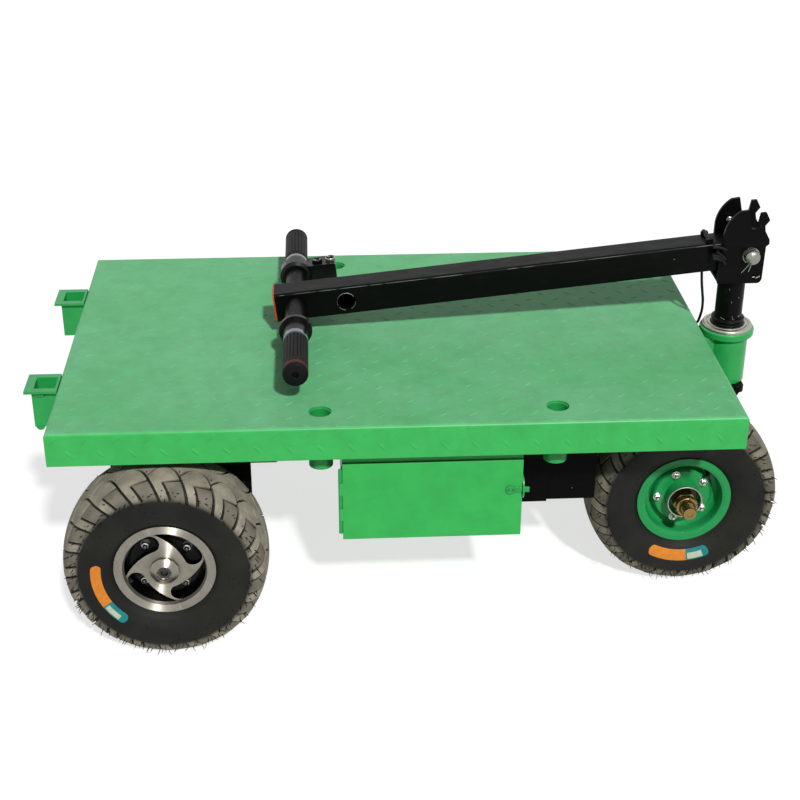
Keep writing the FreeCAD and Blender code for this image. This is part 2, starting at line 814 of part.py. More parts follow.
def throttle_housing():
    centre = Vector(bar_from_pivot, 0, 0)
    r = throttle_radius
    end = throttle_face + throttle_length
    profile = [(throttle_face, bar_radius), (throttle_face, r - 6), (throttle_face + 5, r), (end - 4, r),
               (end, r - 5), (end, sleeve_radius + 2), (grip_start_left, sleeve_radius),
               (grip_start_left, bar_radius)]
    return on_arm(turned(profile, centre, Y))


def switch_block():
    size_x, size_y, size_z = switch_size
    y0 = throttle_face + 2
    body = block(bar_from_pivot - switch_ahead - size_x, bar_from_pivot - switch_ahead + 6, y0, y0 + size_y,
                 -size_z / 2 - 2, size_z / 2 - 2)
    body = round_edges(body, 4, lambda e: is_along(e, Y))
    clear = rod(Vector(bar_from_pivot, 0, 0), Y, throttle_radius, 300)
    return on_arm(body.cut(clear))


def switch_buttons():
    size_x, size_y, size_z = switch_size
    y = throttle_face + 2 + size_y / 2
    top = -size_z / 2 - 2
    x = bar_from_pivot - switch_ahead
    button = rod(Vector(x - 48, y, top), -Z, 8, 6)
    rocker = block(x - 32, x - 12, y - 8, y + 8, top - 4, top)
    return on_arm(Part.makeCompound([button, rocker]))


# ---------------------------------------------------------------- cable
# The control cable hangs from the arm to the front skirt. Points are from the pivot, in X, Y and Z.
cable_upper_route = [(-81.4, 0.0, -38.3), (-79.4, 1.5, -60.0), (-75.0, 6.5, -84.0), (-69.0, 16.0, -108.0)]
cable_lower_route = [(-68.94, 16.1, -108.24), (-64.5, 27.0, -131.0), (-63.5, 41.0, -156.0),
                     (-66.0, 49.0, -177.0), (-74.5, 49.6, -178.5)]


def arm_grommet():
    """Rubber ring in the hole under the arm, round the cable."""
    seat = arm_side / 2
    hole = cable_radius + cable_seat_gap
    profile = [(-arm_wall, hole), (-arm_wall, grommet_radius), (0, grommet_radius), (0, grommet_flange),
               (grommet_lip, grommet_flange - 1), (grommet_lip, hole)]
    points = [Vector(cable_exit_from_pivot + radius, 0, seat + along) for along, radius in profile]
    ring = Part.Face(Part.makePolygon(points + [points[0]]))
    return on_arm(ring.revolve(Vector(cable_exit_from_pivot, 0, 0), Z, 360))


def skirt_grommet():
    """Rubber ring on the front skirt, where the cable goes in."""
    end = Vector(pivot_x, 0, pivot_height) + Vector(*cable_lower_route[-1])
    face = Vector(deck_front, end.y, end.z)
    hole = cable_radius + cable_seat_gap
    profile = [(0, hole), (0, grommet_flange), (grommet_lip, grommet_flange - 1), (grommet_lip, hole)]
    return turned(profile, face, X)


def cord_tube(route, radius):
    """A round tube along straight runs joined by tangent arcs."""
    points = [Vector(pivot_x, 0, pivot_height) + Vector(*p) for p in route]
    edges = []
    start = points[0]
    for before, corner, after in zip(points, points[1:], points[2:]):
        into = (corner - before).normalize()
        out = (after - corner).normalize()
        turn = into.getAngle(out)
        cut = 0.45 * min((corner - before).Length, (after - corner).Length)
        a = corner - into * cut
        b = corner + out * cut
        bulge = (into * -1 + out).normalize()
        arc_radius = cut / math.tan(turn / 2)
        middle = corner + bulge * (arc_radius / math.cos(turn / 2) - arc_radius)
        edges.append(Part.LineSegment(start, a).toShape())
        edges.append(Part.Arc(a, middle, b).toShape())
        start = b
    edges.append(Part.LineSegment(start, points[-1]).toShape())
    path = Part.Wire(edges)
    ring = Part.Wire(Part.makeCircle(radius, points[0], (points[1] - points[0]).normalize()))
    return path.makePipeShell([ring], True, False)


def write_all():
    os.makedirs("parts", exist_ok=True)
    save("deck_plate", deck_plate())
    save("stake_tubes", stake_tubes())
    save("frame_rails", frame_rails())
    save("cross_members", cross_members())
    for side, name in sides:
        save("rear_socket_" + name, rear_socket(side))
    save("battery_box", battery_box())
    save("battery_door", battery_door())
    save("door_hinge", door_hinge())
    save("hasp_plate", hasp_plate())
    save("hasp_staple", hasp_staple())
    save("battery_block", battery_block())
    save("controller_case", controller_case())
    for side, name in sides:
        outward = Y * side
        rear = Vector(rear_axle_x, side * rear_track / 2, wheel_z)
        front = Vector(front_axle_x, side * front_track / 2, wheel_z)
        save("tyre_rear_" + name, tyre(rear, outward))
        save("rim_rear_" + name, rear_rim(rear, outward))
        save("hub_rear_" + name, rear_hub(rear, outward))
        save("tyre_front_" + name, tyre(front, outward))
        save("rim_front_" + name, front_rim(front, outward))
        save("hub_front_" + name, front_hub(front, outward))
    save("rear_axle_housing", rear_axle_housing())
    save("gear_case", gear_case())
    save("drive_motor", drive_motor())
    save("axle_hangers", axle_hangers())
    save("head_tube", head_tube())
    save("head_bearing", head_bearing())
    save("steering_column", steering_column())
    save("steering_yoke", steering_yoke())
    save("front_axle", front_axle())
    for side, name in sides:
        save("bracket_plate_" + name, bracket_plate(side))
    save("bracket_base", bracket_base())
    save("pivot_pin", pivot_pin())
    save("tiller_arm", tiller_arm())
    save("arm_end_cap", arm_end_cap())
    save("lock_pin", lock_pin())
    save("lock_hook", lock_hook())
    save("bar_sockets", bar_sockets())
    save("arm_grommet", arm_grommet())
    save("skirt_grommet", skirt_grommet())
    save("handle_bar", handle_bar())
    save("grip_right", grip(-1, grip_start_right, grip_end_right))
    save("grip_left", grip(1, grip_start_left, grip_end_left))
    save("grip_collar", grip_collar())
    save("throttle_housing", throttle_housing())
    save("switch_block", switch_block())
    save("switch_buttons", switch_buttons())
    save("cable_upper", cord_tube(cable_upper_route, cable_radius))
    save("cable_lower", cord_tube(cable_lower_route, cable_radius))


write_all()
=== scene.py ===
# Electric platform trolley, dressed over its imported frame.
import math
import random

import bmesh
import bpy
from mathutils import Matrix, Vector
from mathutils.geometry import delaunay_2d_cdt


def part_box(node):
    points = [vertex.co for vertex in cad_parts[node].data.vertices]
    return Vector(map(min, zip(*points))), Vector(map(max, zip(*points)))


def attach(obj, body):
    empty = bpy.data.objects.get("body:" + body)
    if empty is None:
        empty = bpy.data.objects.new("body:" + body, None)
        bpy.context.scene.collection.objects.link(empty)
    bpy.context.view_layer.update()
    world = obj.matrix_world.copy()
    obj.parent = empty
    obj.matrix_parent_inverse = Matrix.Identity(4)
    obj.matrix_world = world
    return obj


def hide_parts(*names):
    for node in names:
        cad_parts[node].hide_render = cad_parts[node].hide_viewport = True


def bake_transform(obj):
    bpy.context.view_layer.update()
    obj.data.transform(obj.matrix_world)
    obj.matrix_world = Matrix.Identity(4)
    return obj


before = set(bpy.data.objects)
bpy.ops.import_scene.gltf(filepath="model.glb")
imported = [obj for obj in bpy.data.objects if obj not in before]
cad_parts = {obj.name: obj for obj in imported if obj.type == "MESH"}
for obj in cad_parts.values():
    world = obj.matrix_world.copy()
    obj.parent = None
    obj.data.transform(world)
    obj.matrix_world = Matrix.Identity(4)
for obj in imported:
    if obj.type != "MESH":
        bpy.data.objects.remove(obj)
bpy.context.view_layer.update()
mm = 0.001
axisX, axisY, axisZ = Vector((1, 0, 0)), Vector((0, 1, 0)), Vector((0, 0, 1))


def middle(node):
    low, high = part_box(node)
    return (low + high) / 2


# camera and cable first: the view decides how much has to be seen

view = {
    "place": (-166.0, -2637.0, 1677.1),  # mm
    "turn": 3.326,  # degrees from +Y towards +X
    "down": 27.695,
    "roll": 0.164,
    "lens": 68.325,
    "sensor": 36.0,
    "farClip": 60.0,  # metres
}


def makeCamera():
    turn, down, roll = (math.radians(view[k]) for k in ("turn", "down", "roll"))
    ahead = Vector((math.sin(turn) * math.cos(down), math.cos(turn) * math.cos(down), -math.sin(down)))
    right = Vector((math.cos(turn), -math.sin(turn), 0))
    up = right.cross(ahead)
    rightRolled = right * math.cos(roll) + up * math.sin(roll)
    upRolled = up * math.cos(roll) - right * math.sin(roll)
    camera = bpy.data.objects.new("camera", bpy.data.cameras.new("camera"))
    camera.data.lens = view["lens"]
    camera.data.sensor_width = view["sensor"]
    camera.data.clip_end = view["farClip"]
    place = Matrix((rightRolled, upRolled, -ahead)).transposed().to_4x4()
    place.translation = Vector(view["place"]) * mm
    camera.matrix_world = place
    bpy.context.scene.collection.objects.link(camera)
    bpy.context.scene.camera = camera


# colours and nodes

def toLinear(code):
    parts = [int(code[i:i + 2], 16) / 255 for i in (1, 3, 5)]
    return [c / 12.92 if c <= 0.04045 else ((c + 0.055) / 1.055) ** 2.4 for c in parts] + [1.0]


def addNode(tree, kind, settings=None, links=None):
    node = tree.nodes.new("ShaderNode" + kind)
    for key, value in (settings or {}).items():
        if key == "stops":  # colour ramp: place and grey level or hex colour
            band = node.color_ramp
            while len(band.elements) < len(value):
                band.elements.new(0.5)
            for element, (place, colour) in zip(band.elements, value):
                element.position = place
                element.color = toLinear(colour) if isinstance(colour, str) else (colour, colour, colour, 1)
        elif isinstance(key, int) or (key in node.inputs and not hasattr(node, key)):
            hexCode = isinstance(value, str) and value.startswith("#")
            node.inputs[key].default_value = toLinear(value) if hexCode else value
        else:
            setattr(node, key, value)
    for key, source in (links or {}).items():
        tree.links.new(source, node.inputs[key])
    return node


def newMaterial(name, settings):
    material = bpy.data.materials.new(name)
    material.use_nodes = True
    tree = material.node_tree
    tree.nodes.clear()
    shader = addNode(tree, "BsdfPrincipled", settings)
    addNode(tree, "OutputMaterial", links={"Surface": shader.outputs[0]})
    return material, tree, shader, addNode(tree, "TexCoord").outputs["Object"]


def perMm(size):
    return 1000.0 / size  # noise scale for a feature of that size in millimetres


# mesh helpers; all lengths in millimetres, and each part is its points, its faces and the name of its finish

def arcLine(a, b, c, count):
    # points on the circle through a, b and c, from a to c
    (ax, ay), (bx, by), (cx, cy) = a, b, c
    d = 2 * (ax * (by - cy) + bx * (cy - ay) + cx * (ay - by))
    ux = ((ax**2 + ay**2) * (by - cy) + (bx**2 + by**2) * (cy - ay) + (cx**2 + cy**2) * (ay - by)) / d
    uy = ((ax**2 + ay**2) * (cx - bx) + (bx**2 + by**2) * (ax - cx) + (cx**2 + cy**2) * (bx - ax)) / d
    radius = math.hypot(ax - ux, ay - uy)

    def unwrap(angle, near):
        return near + (angle - near + math.pi) % (2 * math.pi) - math.pi

    first, mid, last = (math.atan2(y - uy, x - ux) for x, y in (a, b, c))
    last = unwrap(last, unwrap(mid, first))
    steps = [first + (last - first) * k / count for k in range(count + 1)]
    return [(ux + radius * math.cos(t), uy + radius * math.sin(t)) for t in steps]


def smoothLine(points, steps):
    # Catmull-Rom line through tuples of any length
    ends = [tuple(2 * a - b for a, b in zip(points[0], points[1]))]
    tail = [tuple(2 * a - b for a, b in zip(points[-1], points[-2]))]
    p = ends + [tuple(q) for q in points] + tail
    line = []
    for k in range(1, len(p) - 2):
        for j in range(steps):
            t = j / steps
            line.append(tuple(0.5 * (2 * b + (c - a) * t + (2 * a - 5 * b + 4 * c - d) * t * t
                                     + (3 * b - a - 3 * c + d) * t**3)
                              for a, b, c, d in zip(*p[k - 1:k + 3])))
    return line + [tuple(points[-1])]


def moved(profile, along):
    # the same (along, radius) outline, further along its axis
    return [(a + along, r) for a, r in profile]


def ring(rows, count):
    # faces between rows of points that each close on themselves
    faces = []
    for row in range(rows - 1):
        for k in range(count):
            n = (k + 1) % count
            faces.append([row * count + k, row * count + n, (row + 1) * count + n, (row + 1) * count + k])
    return faces


def lathe(profile, centre, axis, count, kind, turn=0.0):
    # turns (along, radius) pairs about the axis; radius 0 closes the end
    axis = Vector(axis).normalized()
    side = axis.orthogonal().normalized()
    other = axis.cross(side)
    points, faces, rings = [], [], []
    for along, radius in profile:
        base = Vector(centre) + axis * along
        if radius < 1e-6:
            rings.append([len(points)] * count)
            points.append(base)
            continue
        rings.append(range(len(points), len(points) + count))
        for k in range(count):
            angle = turn + 2 * math.pi * k / count
            points.append(base + (side * math.cos(angle) + other * math.sin(angle)) * radius)
    for low, high in zip(rings, rings[1:]):
        for k in range(count):
            n = (k + 1) % count
            corners = [low[k], low[n], high[n], high[k]]
            face = [c for i, c in enumerate(corners) if c not in corners[:i]]
            if len(face) > 2:
                faces.append(face)
    return points, faces, kind


nutEdge = {"foot": 0.6, "top": 0.8, "flat": 0.3}  # chamfers at foot and top, and the top face's inset


def nut(centre, axis, across, height, hole, kind, turn=0.0):
    # hexagon nut with chamfered corners and a bore
    e = nutEdge
    corner = across / math.sqrt(3)
    profile = [(0, hole), (0, across / 2), (e["foot"], corner), (height - e["top"], corner),
               (height, across / 2 - e["flat"]), (height, hole + e["foot"]), (height - e["foot"], hole)]
    return lathe(profile, centre, axis, 6, kind, turn)


def slab(corners, offset, kind):
    # flat plate from an outline and an offset vector
    base = [Vector(c) for c in corners]
    count = len(base)
    points = base + [c + Vector(offset) for c in base]
    faces = [list(range(count))[::-1], list(range(count, 2 * count))]
    return points, faces + ring(2, count), kind


def sweep(line, radius, count, kind, caps=True):
    # round tube along a line of points; radius may be one value or one per point
    line = [Vector(p) for p in line]
    radii = radius if isinstance(radius, (list, tuple)) else [radius] * len(line)
    points = []
    side = None
    for k, place in enumerate(line):
        ahead = (line[min(k + 1, len(line) - 1)] - line[max(k - 1, 0)]).normalized()
        side = ahead.orthogonal() if side is None else side - ahead * side.dot(ahead)
        side = side.normalized()
        other = ahead.cross(side)
        for j in range(count):
            angle = 2 * math.pi * j / count
            points.append(place + (side * math.cos(angle) + other * math.sin(angle)) * radii[k])
    faces = ring(len(line), count)
    if caps:
        faces.append(list(range(count))[::-1])
        faces.append(list(range(len(points) - count, len(points))))
    return points, faces, kind


def build(name, parts, body, replaces=(), sharp=35, weld=0.0, values=None):
    # joins parts into one mesh object that moves with a body
    mesh = bpy.data.meshes.new(name)
    kinds = list(dict.fromkeys(kind for _, _, kind in parts))
    points, faces, numbers = [], [], []
    for partPoints, partFaces, kind in parts:
        start = len(points)
        points += [Vector(p) * mm for p in partPoints]
        faces += [[start + k for k in face] for face in partFaces]
        numbers += [kinds.index(kind)] * len(partFaces)
    mesh.from_pydata(points, [], faces)
    mesh.polygons.foreach_set("material_index", numbers)
    for label, amounts in (values or {}).items():
        mesh.attributes.new(label, "FLOAT", "POINT").data.foreach_set("value", amounts)
    work = bmesh.new()
    work.from_mesh(mesh)
    if weld:
        bmesh.ops.remove_doubles(work, verts=work.verts, dist=weld * mm)
    bmesh.ops.recalc_face_normals(work, faces=work.faces)
    work.to_mesh(mesh)
    work.free()
    mesh.shade_smooth()
    mesh.set_sharp_from_angle(angle=math.radians(sharp))
    for kind in kinds:
        mesh.materials.append(finish[kind])
    thing = bpy.data.objects.new(name, mesh)
    bpy.context.scene.collection.objects.link(thing)
    if body:
        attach(thing, body)
    if replaces:
        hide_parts(*replaces)
    return thing


def onWheel(centre, outward, angle, radius, along):
    # the angle runs anticlockwise as seen from the wheel's outer side
    a = math.radians(angle)
    return centre + outward * along + (axisX * -outward.y * math.cos(a) + axisZ * math.sin(a)) * radius


# tyres

tyreShape = {
    "crown": 181.0,
    "shoulder": (52.0, 175.0),
    "shoulderMid": (66.0, 164.0),
    "edge": (72.0, 148.0),
    "wallMid": (70.0, 114.0),
    "bead": (54.4, 90.0),
    "seat": (54.0, 77.4),
    "crownSteps": 32,
    "wallSteps": 14,
    "wallFrom": 60.0,  # distance across from which the skin counts as wall
    "wallRibs": [(143.0, 2.2, 0.7), (99.0, 3.0, 0.9)],  # radius, half width and height
}

tread = {
    "pitches": 20,
    "rows": 12,
    "columns": 8,
    "grooveDepth": 5.0,
    "grooveWall": 0.9,
    "grooveSteps": 3,
    "narrowest": 0.15,
    "endWall": 0.6,  # slope of a groove's end against that of its sides
    "runOut": 6.0,  # the grooves rise to nothing over this width at the wall
    "runOutDepth": 0.55,
    "runOutEnd": 3.0,  # how much faster the last of it rises
    "blockDrop": 0.7,
    "blockDust": 0.55,
    "grooveDust": 1.2,
    "cleanShoulder": 9.0,
    # long grooves rise from the shoulder, arch over the crown and land on the one before:
    # around, across and half width
    "longGroove": [(2, 85, 3.6), (-6, 68, 2.8), (-14, 51, 2.4), (-21, 35, 2.4), (-30, 19, 2.5),
                   (-41, 10, 2.5), (-52, 8.5, 2.5), (-63, 14, 2.4), (-71, 24, 2.3), (-78, 34, 2.0)],
    "hookSide": [(-32, 85, 3.3), (-39, 71, 2.6), (-45, 60, 2.2), (-50, 51.5, 2.1)],
    "hookTop": [(-50.5, 51, 1.8), (-41, 49.5, 2.4), (-30, 46.5, 3.0), (-18.5, 43.5, 3.5)],
    "tick": [(-21.5, 24, 1.3), (-22.5, 15, 1.3)],
    "shoulderBlock": [(-32, 85), (-39, 71), (-50, 51.5), (-18, 43), (-9, 62), (2, 85)],
}

flash = {
    "hairs": 230,
    "hairBand": (66, 88),  # across the tread, measured on the skin
    "hairSwing": 0.4,
    "hairRoot": 0.6,
    "hairLength": (5.0, 13.0),
    "hairRadii": [0.85, 0.7, 0.4],
    "hairBend": 0.03,
    "farSide": 5,  # one hair in so many stands on the inner side
    "floorClear": 2.0,
    "nubs": 40,
    "nubBand": (104, 142),
    "nubRoot": 0.4,
    "nub": [(0, 1.6), (1.2, 1.3), (1.6, 0)],
    "labelClear": 4.0,
}


def tyreSection():
    # half section from the crown to the seat as (across, along, radius), across measured on the skin
    t = tyreShape
    left = (-t["shoulder"][0], t["shoulder"][1])
    crown = [p for p in arcLine(left, (0, t["crown"]), t["shoulder"], t["crownSteps"]) if p[0] > -0.01]
    line = crown + arcLine(t["shoulder"], t["shoulderMid"], t["edge"], t["wallSteps"])[1:]
    edgeAt = len(line) - 1
    line += arcLine(t["edge"], t["wallMid"], t["bead"], t["wallSteps"])[1:] + [t["seat"]]
    across = [0.0]
    for a, b in zip(line, line[1:]):
        across.append(across[-1] + math.hypot(b[0] - a[0], b[1] - a[1]))
    return [(s, x, r) for s, (x, r) in zip(across, line)], edgeAt


def onSection(section, across, drop):
    # point (along, radius) at a signed distance across the tread, sunk by drop
    far = abs(across)
    k = next((i for i in range(1, len(section)) if section[i][0] >= far), len(section) - 1)
    (s0, x0, r0), (s1, x1, r1) = section[k - 1], section[k]
    t = (far - s0) / (s1 - s0)
    along, radius = x0 + (x1 - x0) * t, r0 + (r1 - r0) * t
    length = math.hypot(x1 - x0, r1 - r0)
    along -= drop * (r0 - r1) / length
    radius -= drop * (x1 - x0) / length
    return math.copysign(along, across), radius


def grooveOutline(line, inset):
    # the groove's edge, or its floor's edge when inset
    left, right = [], []
    for k, (u, s, w) in enumerate(line):
        a, b = line[max(k - 1, 0)], line[min(k + 1, len(line) - 1)]
        du, ds = b[0] - a[0], b[1] - a[1]
        length = math.hypot(du, ds)
        half = max(w - inset, tread["narrowest"])
        push = {0: 1, len(line) - 1: -1}.get(k, 0) * inset * tread["endWall"]
        u, s = u + du / length * push, s + ds / length * push
        left.append((u - ds / length * half, s + du / length * half))
        right.append((u + ds / length * half, s - du / length * half))
    return left + right[::-1]


def inOutline(place, outline):
    inside = False
    for (x0, y0), (x1, y1) in zip(outline, outline[1:] + outline[:1]):
        if (y0 > place[1]) != (y1 > place[1]):
            if place[0] < x0 + (place[1] - y0) / (y1 - y0) * (x1 - x0):
                inside = not inside
    return inside


def sunkDepth(place, lines):
    # 1 on a groove's floor, 0 on the rubber, and between them on its wall
    deepest = 0.0
    for line in lines:
        for (u0, s0, w0), (u1, s1, w1) in zip(line, line[1:]):
            du, ds = u1 - u0, s1 - s0
            k = ((place[0] - u0) * du + (place[1] - s0) * ds) / (du * du + ds * ds)
            k = max(0.0, min(1.0, k))
            away = math.hypot(place[0] - u0 - du * k, place[1] - s0 - ds * k)
            inside = (w0 + (w1 - w0) * k - away) / tread["grooveWall"]
            deepest = max(deepest, min(1.0, inside))
    return deepest if deepest > 0.02 else 0.0


def treadCell(edge):
    # one pitch of tread as flat triangles, with a sunk depth and a dust value for each point
    t = tread
    pitch = 2 * math.pi * tyreShape["crown"] / t["pitches"]
    lines, blocks = [], []
    for mirror, shift in ((1, 0.0), (-1, pitch / 2)):
        for turn in range(-1, 4):
            def move(q):
                return (q[0] + shift + turn * pitch, q[1] * mirror) + tuple(q[2:])

            for key in ("longGroove", "hookSide", "hookTop", "tick"):
                steps = 1 if key == "tick" else t["grooveSteps"]
                lines.append(smoothLine([move(q) for q in t[key]], steps))
            blocks.append([move(q) for q in t["shoulderBlock"]])
    lines = [line for line in lines if min(q[0] for q in line) < pitch + 4 and max(q[0] for q in line) > -4]
    rows = [s * edge / t["rows"] for s in range(-t["rows"], t["rows"] + 1)]
    columns = [pitch * k / t["columns"] for k in range(t["columns"] + 1)]
    border = [(0.0, s) for s in rows] + [(u, edge) for u in columns[1:-1]]
    border += [(pitch, s) for s in rows[::-1]] + [(u, -edge) for u in columns[-2:0:-1]]
    border.reverse()
    flat, faces = list(border), [list(range(len(border)))]
    flat += [(u, s) for u in columns[1:-1] for s in rows[1:-1]]
    for line in lines:
        for inset in (0.0, t["grooveWall"]):
            outline = grooveOutline(line, inset)
            faces.append(list(range(len(flat), len(flat) + len(outline))))
            flat += outline
    verts, _, tris, _, _, origins = delaunay_2d_cdt([Vector(p) for p in flat], [], faces, 0, 1e-4, True)
    cell = []
    for place in verts:
        deep = sunkDepth(place, lines)
        lower = any(inOutline(place, outline) for outline in blocks)
        fromEdge = edge - abs(place[1])
        fade = min(1.0, max(0.0, fromEdge / t["runOut"]))
        groove = deep * t["grooveDepth"] * (t["runOutDepth"] + (1 - t["runOutDepth"]) * fade)
        drop = max(groove, t["blockDrop"] if lower else 0.0) * min(1.0, fade * t["runOutEnd"])
        clean = min(1.0, max(0.0, fromEdge / t["cleanShoulder"]))
        dust = max(0.0, (t["blockDust"] if lower else 1.0) - deep * t["grooveDust"]) * clean
        cell.append((place[0], place[1], drop, dust))
    return cell, [tri for tri, source in zip(tris, origins) if 0 in source]


def tyreParts(centre, outward, flow, kind, label, cell, tris, section, edgeAt, seed):
    # tread, walls and seat of one tyre with its moulding flash, and the dust value of each point
    centre = Vector(centre)
    count = tread["pitches"] * tread["columns"]  # the walls have the tread's columns, so that they join it

    def put(along, radius, angle):
        return centre + outward * along + (axisX * math.sin(angle) + axisZ * math.cos(angle)) * radius

    def circle(along, radius):
        return [put(along, radius, flow * 2 * math.pi * k / count) for k in range(count)]

    points, faces, dust = [], [], []
    for pitch in range(tread["pitches"]):
        start = len(points)
        for u, s, drop, value in cell:
            along, radius = onSection(section, s, drop)
            angle = u / tyreShape["crown"] + 2 * math.pi * pitch / tread["pitches"]
            points.append(put(along, radius, flow * angle))
            dust.append(value)
        faces += [[start + i for i in tri] for tri in tris]
    parts = [(points, faces, kind)]
    for side in (1, -1):
        points = []
        for _, along, radius in section[edgeAt:]:
            rib = sum(height for spot, half, height in tyreShape["wallRibs"] if abs(radius - spot) < half)
            points += circle(side * (along + rib), radius)
        parts.append((points, ring(len(section) - edgeAt, count), kind))
    along, radius = tyreShape["seat"]
    parts.append((circle(-along, radius) + circle(along, radius), ring(2, count), kind))
    parts += flashParts(put, outward, label, section, random.Random(seed))
    dust += [0.0] * sum(len(p) for p, _, _ in parts[1:])
    return parts, dust


def flashParts(put, outward, label, section, chance):
    # hairs left by the mould's vents along both shoulders, and nubs on the outer wall
    f = flash
    parts = []
    for k in range(f["hairs"]):
        across = chance.uniform(*f["hairBand"]) * (1 if k % f["farSide"] else -1)
        angle = 2 * math.pi * (k + chance.uniform(-f["hairSwing"], f["hairSwing"])) / f["hairs"]
        a0, r0 = onSection(section, across, f["hairRoot"])
        a1, r1 = onSection(section, across, -chance.uniform(*f["hairLength"]))
        bend = chance.uniform(-f["hairBend"], f["hairBend"])
        tip = put(a1, r1, angle + bend)
        if tip.z < f["floorClear"]:
            continue
        bow = put((a0 + a1) / 2, (r0 + r1) / 2, angle + bend * 0.3)
        parts.append(sweep([put(a0, r0, angle), bow, tip], f["hairRadii"], 4, "hair"))
    for k in range(f["nubs"]):
        angle = chance.uniform(0, 2 * math.pi)
        radius = chance.uniform(*f["nubBand"])
        turned = math.degrees(math.atan2(math.cos(angle), -outward.y * math.sin(angle))) % 360
        nearLabel = label[0] - f["labelClear"] < turned < label[2] + f["labelClear"]
        if nearLabel and radius < label[4] + f["labelClear"]:
            continue
        across = next(q[0] for q in section if q[2] <= radius and q[0] > tyreShape["wallFrom"])
        a0, r0 = onSection(section, across, f["nubRoot"])
        parts.append(lathe(f["nub"], put(a0, r0, angle), outward, 6, "hair"))
    return parts


stickers = {
    "lift": 0.35,
    "corner": 9.0,
    "steps": (26, 6),
    "panelLift": 0.15,
    # degrees from the joint and the far end, then mm from the inner and outer radius
    "panelInset": (1.5, 6.5, 7.0, 2.0),
    # first, joint and last angle, inner and outer radius
    "rear": (169.0, 210.0, 233.0, 109.5, 127.0),
    "front": (238.0, 275.0, 297.0, 104.5, 125.0),
}


def stickerParts(centre, outward, spans, section):
    # curved two-colour label lying on the wall; the far end has a pale panel
    s = stickers
    wall = [q for q in section if q[0] > tyreShape["wallFrom"]]
    steps, rows = s["steps"]

    def along(radius):
        for (_, x0, r0), (_, x1, r1) in zip(wall, wall[1:]):
            if r1 <= radius <= r0:
                return x0 + (x1 - x0) * (r0 - radius) / (r0 - r1)
        return wall[-1][1]

    def patch(first, last, inner, outer, kind, lift, roundFirst=False, roundLast=False):
        points, faces = [], []
        mid, half = (inner + outer) / 2, (outer - inner) / 2
        corner = min(s["corner"], half)
        reach = math.radians(abs(last - first)) * mid
        for i in range(steps + 1):
            angle = first + (last - first) * i / steps
            near = reach * i / steps if roundFirst else corner
            if roundLast:
                near = min(near, reach * (1 - i / steps))
            if near < corner:
                width = half - corner + math.sqrt(max(0.0, corner**2 - (corner - near)**2))
            else:
                width = half
            for j in range(rows + 1):
                radius = mid + width * (2 * j / rows - 1)
                points.append(onWheel(centre, outward, angle, radius, along(radius) + lift))
        for i in range(steps):
            for j in range(rows):
                a = i * (rows + 1) + j
                faces.append([a, a + 1, a + rows + 2, a + rows + 1])
        return points, faces, kind

    first, joint, last, inner, outer = spans
    fromJoint, fromEnd, fromInner, fromOuter = s["panelInset"]
    return [patch(first, joint, inner, outer, "orange", s["lift"], roundFirst=True),
            patch(joint, last, inner, outer, "teal", s["lift"], roundLast=True),
            patch(joint + fromJoint, last - fromEnd, inner + fromInner, outer - fromOuter, "panel",
                  s["lift"] + s["panelLift"])]


# raised marks on the deck and its skirt

checker = {
    "step": 26.5,
    "length": 25.0,
    "width": 7.6,
    "layers": [(1.0, -0.3), (0.62, 0.825), (0.3, 1.1)],  # share of the size, and height over the sheet
    "steps": 12,
    "point": 1.5,  # how far the sides draw in to a point at each end
    "edgeClear": 13.0,
    "skirtClear": 9.0,
    "holeClear": 36.0,
    "holes": [(-136, -325), (277, -325), (-97, 325), (316, 325)],  # from the deck's middle
}


def lensMark(centre, along, across, up):
    # one raised lens of the checker pattern, sunk a little so that it joins the sheet
    c = checker
    count = c["steps"]
    points = []
    for grow, lift in c["layers"]:
        for k in range(count):
            angle = 2 * math.pi * k / count
            pinch = math.copysign(abs(math.sin(angle)) ** c["point"], math.sin(angle))
            points.append(centre + along * (math.cos(angle) * c["length"] / 2 * grow)
                          + across * (pinch * c["width"] / 2 * grow) + up * lift)
    faces = ring(len(c["layers"]), count)
    faces.append(list(range(len(points) - count, len(points))))
    return points, faces, "deck"


def checkerField(corner, across, down, size, up, clear, holes=()):
    # marks over a flat field; rows alternate between the two slants
    step = checker["step"]
    parts = []
    for row in range(int(size[1] // step) + 1):
        for spot in range(int(size[0] // step) + 1):
            if (row + spot) % 2:
                continue
            x, y = (spot + 0.5) * step, (row + 0.5) * step
            if min(x, size[0] - x) < clear or min(y, size[1] - y) < clear:
                continue
            place = corner + across * x + down * y
            if any((place - hole).length < checker["holeClear"] for hole in holes):
                continue
            along = (across + down * (1 if row % 2 else -1)).normalized()
            parts.append(lensMark(place, along, up.cross(along), up))
    return parts


def deckMarks():
    # one field on the top and one on each side of the skirt
    c = checker
    low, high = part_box("deck_plate")
    low, high = low / mm, high / mm
    wide, long, tall = high.x - low.x, high.y - low.y, high.z - low.z
    holes = [Vector(((low.x + high.x) / 2 + x, y, high.z)) for x, y in c["holes"]]
    corner = Vector((low.x, low.y, high.z))
    marks = checkerField(corner, axisX, axisY, (wide, long), axisZ, c["edgeClear"], holes)
    for y, out in ((low.y, -axisY), (high.y, axisY)):
        corner = Vector((low.x, y, high.z))
        marks += checkerField(corner, axisX, -axisZ, (wide, tall), out, c["skirtClear"])
    for x, out in ((low.x, -axisX), (high.x, axisX)):
        corner = Vector((x, low.y, high.z))
        marks += checkerField(corner, axisY, -axisZ, (long, tall), out, c["skirtClear"])
    return marks


# wheel fittings; outlines are (outward, radius) pairs

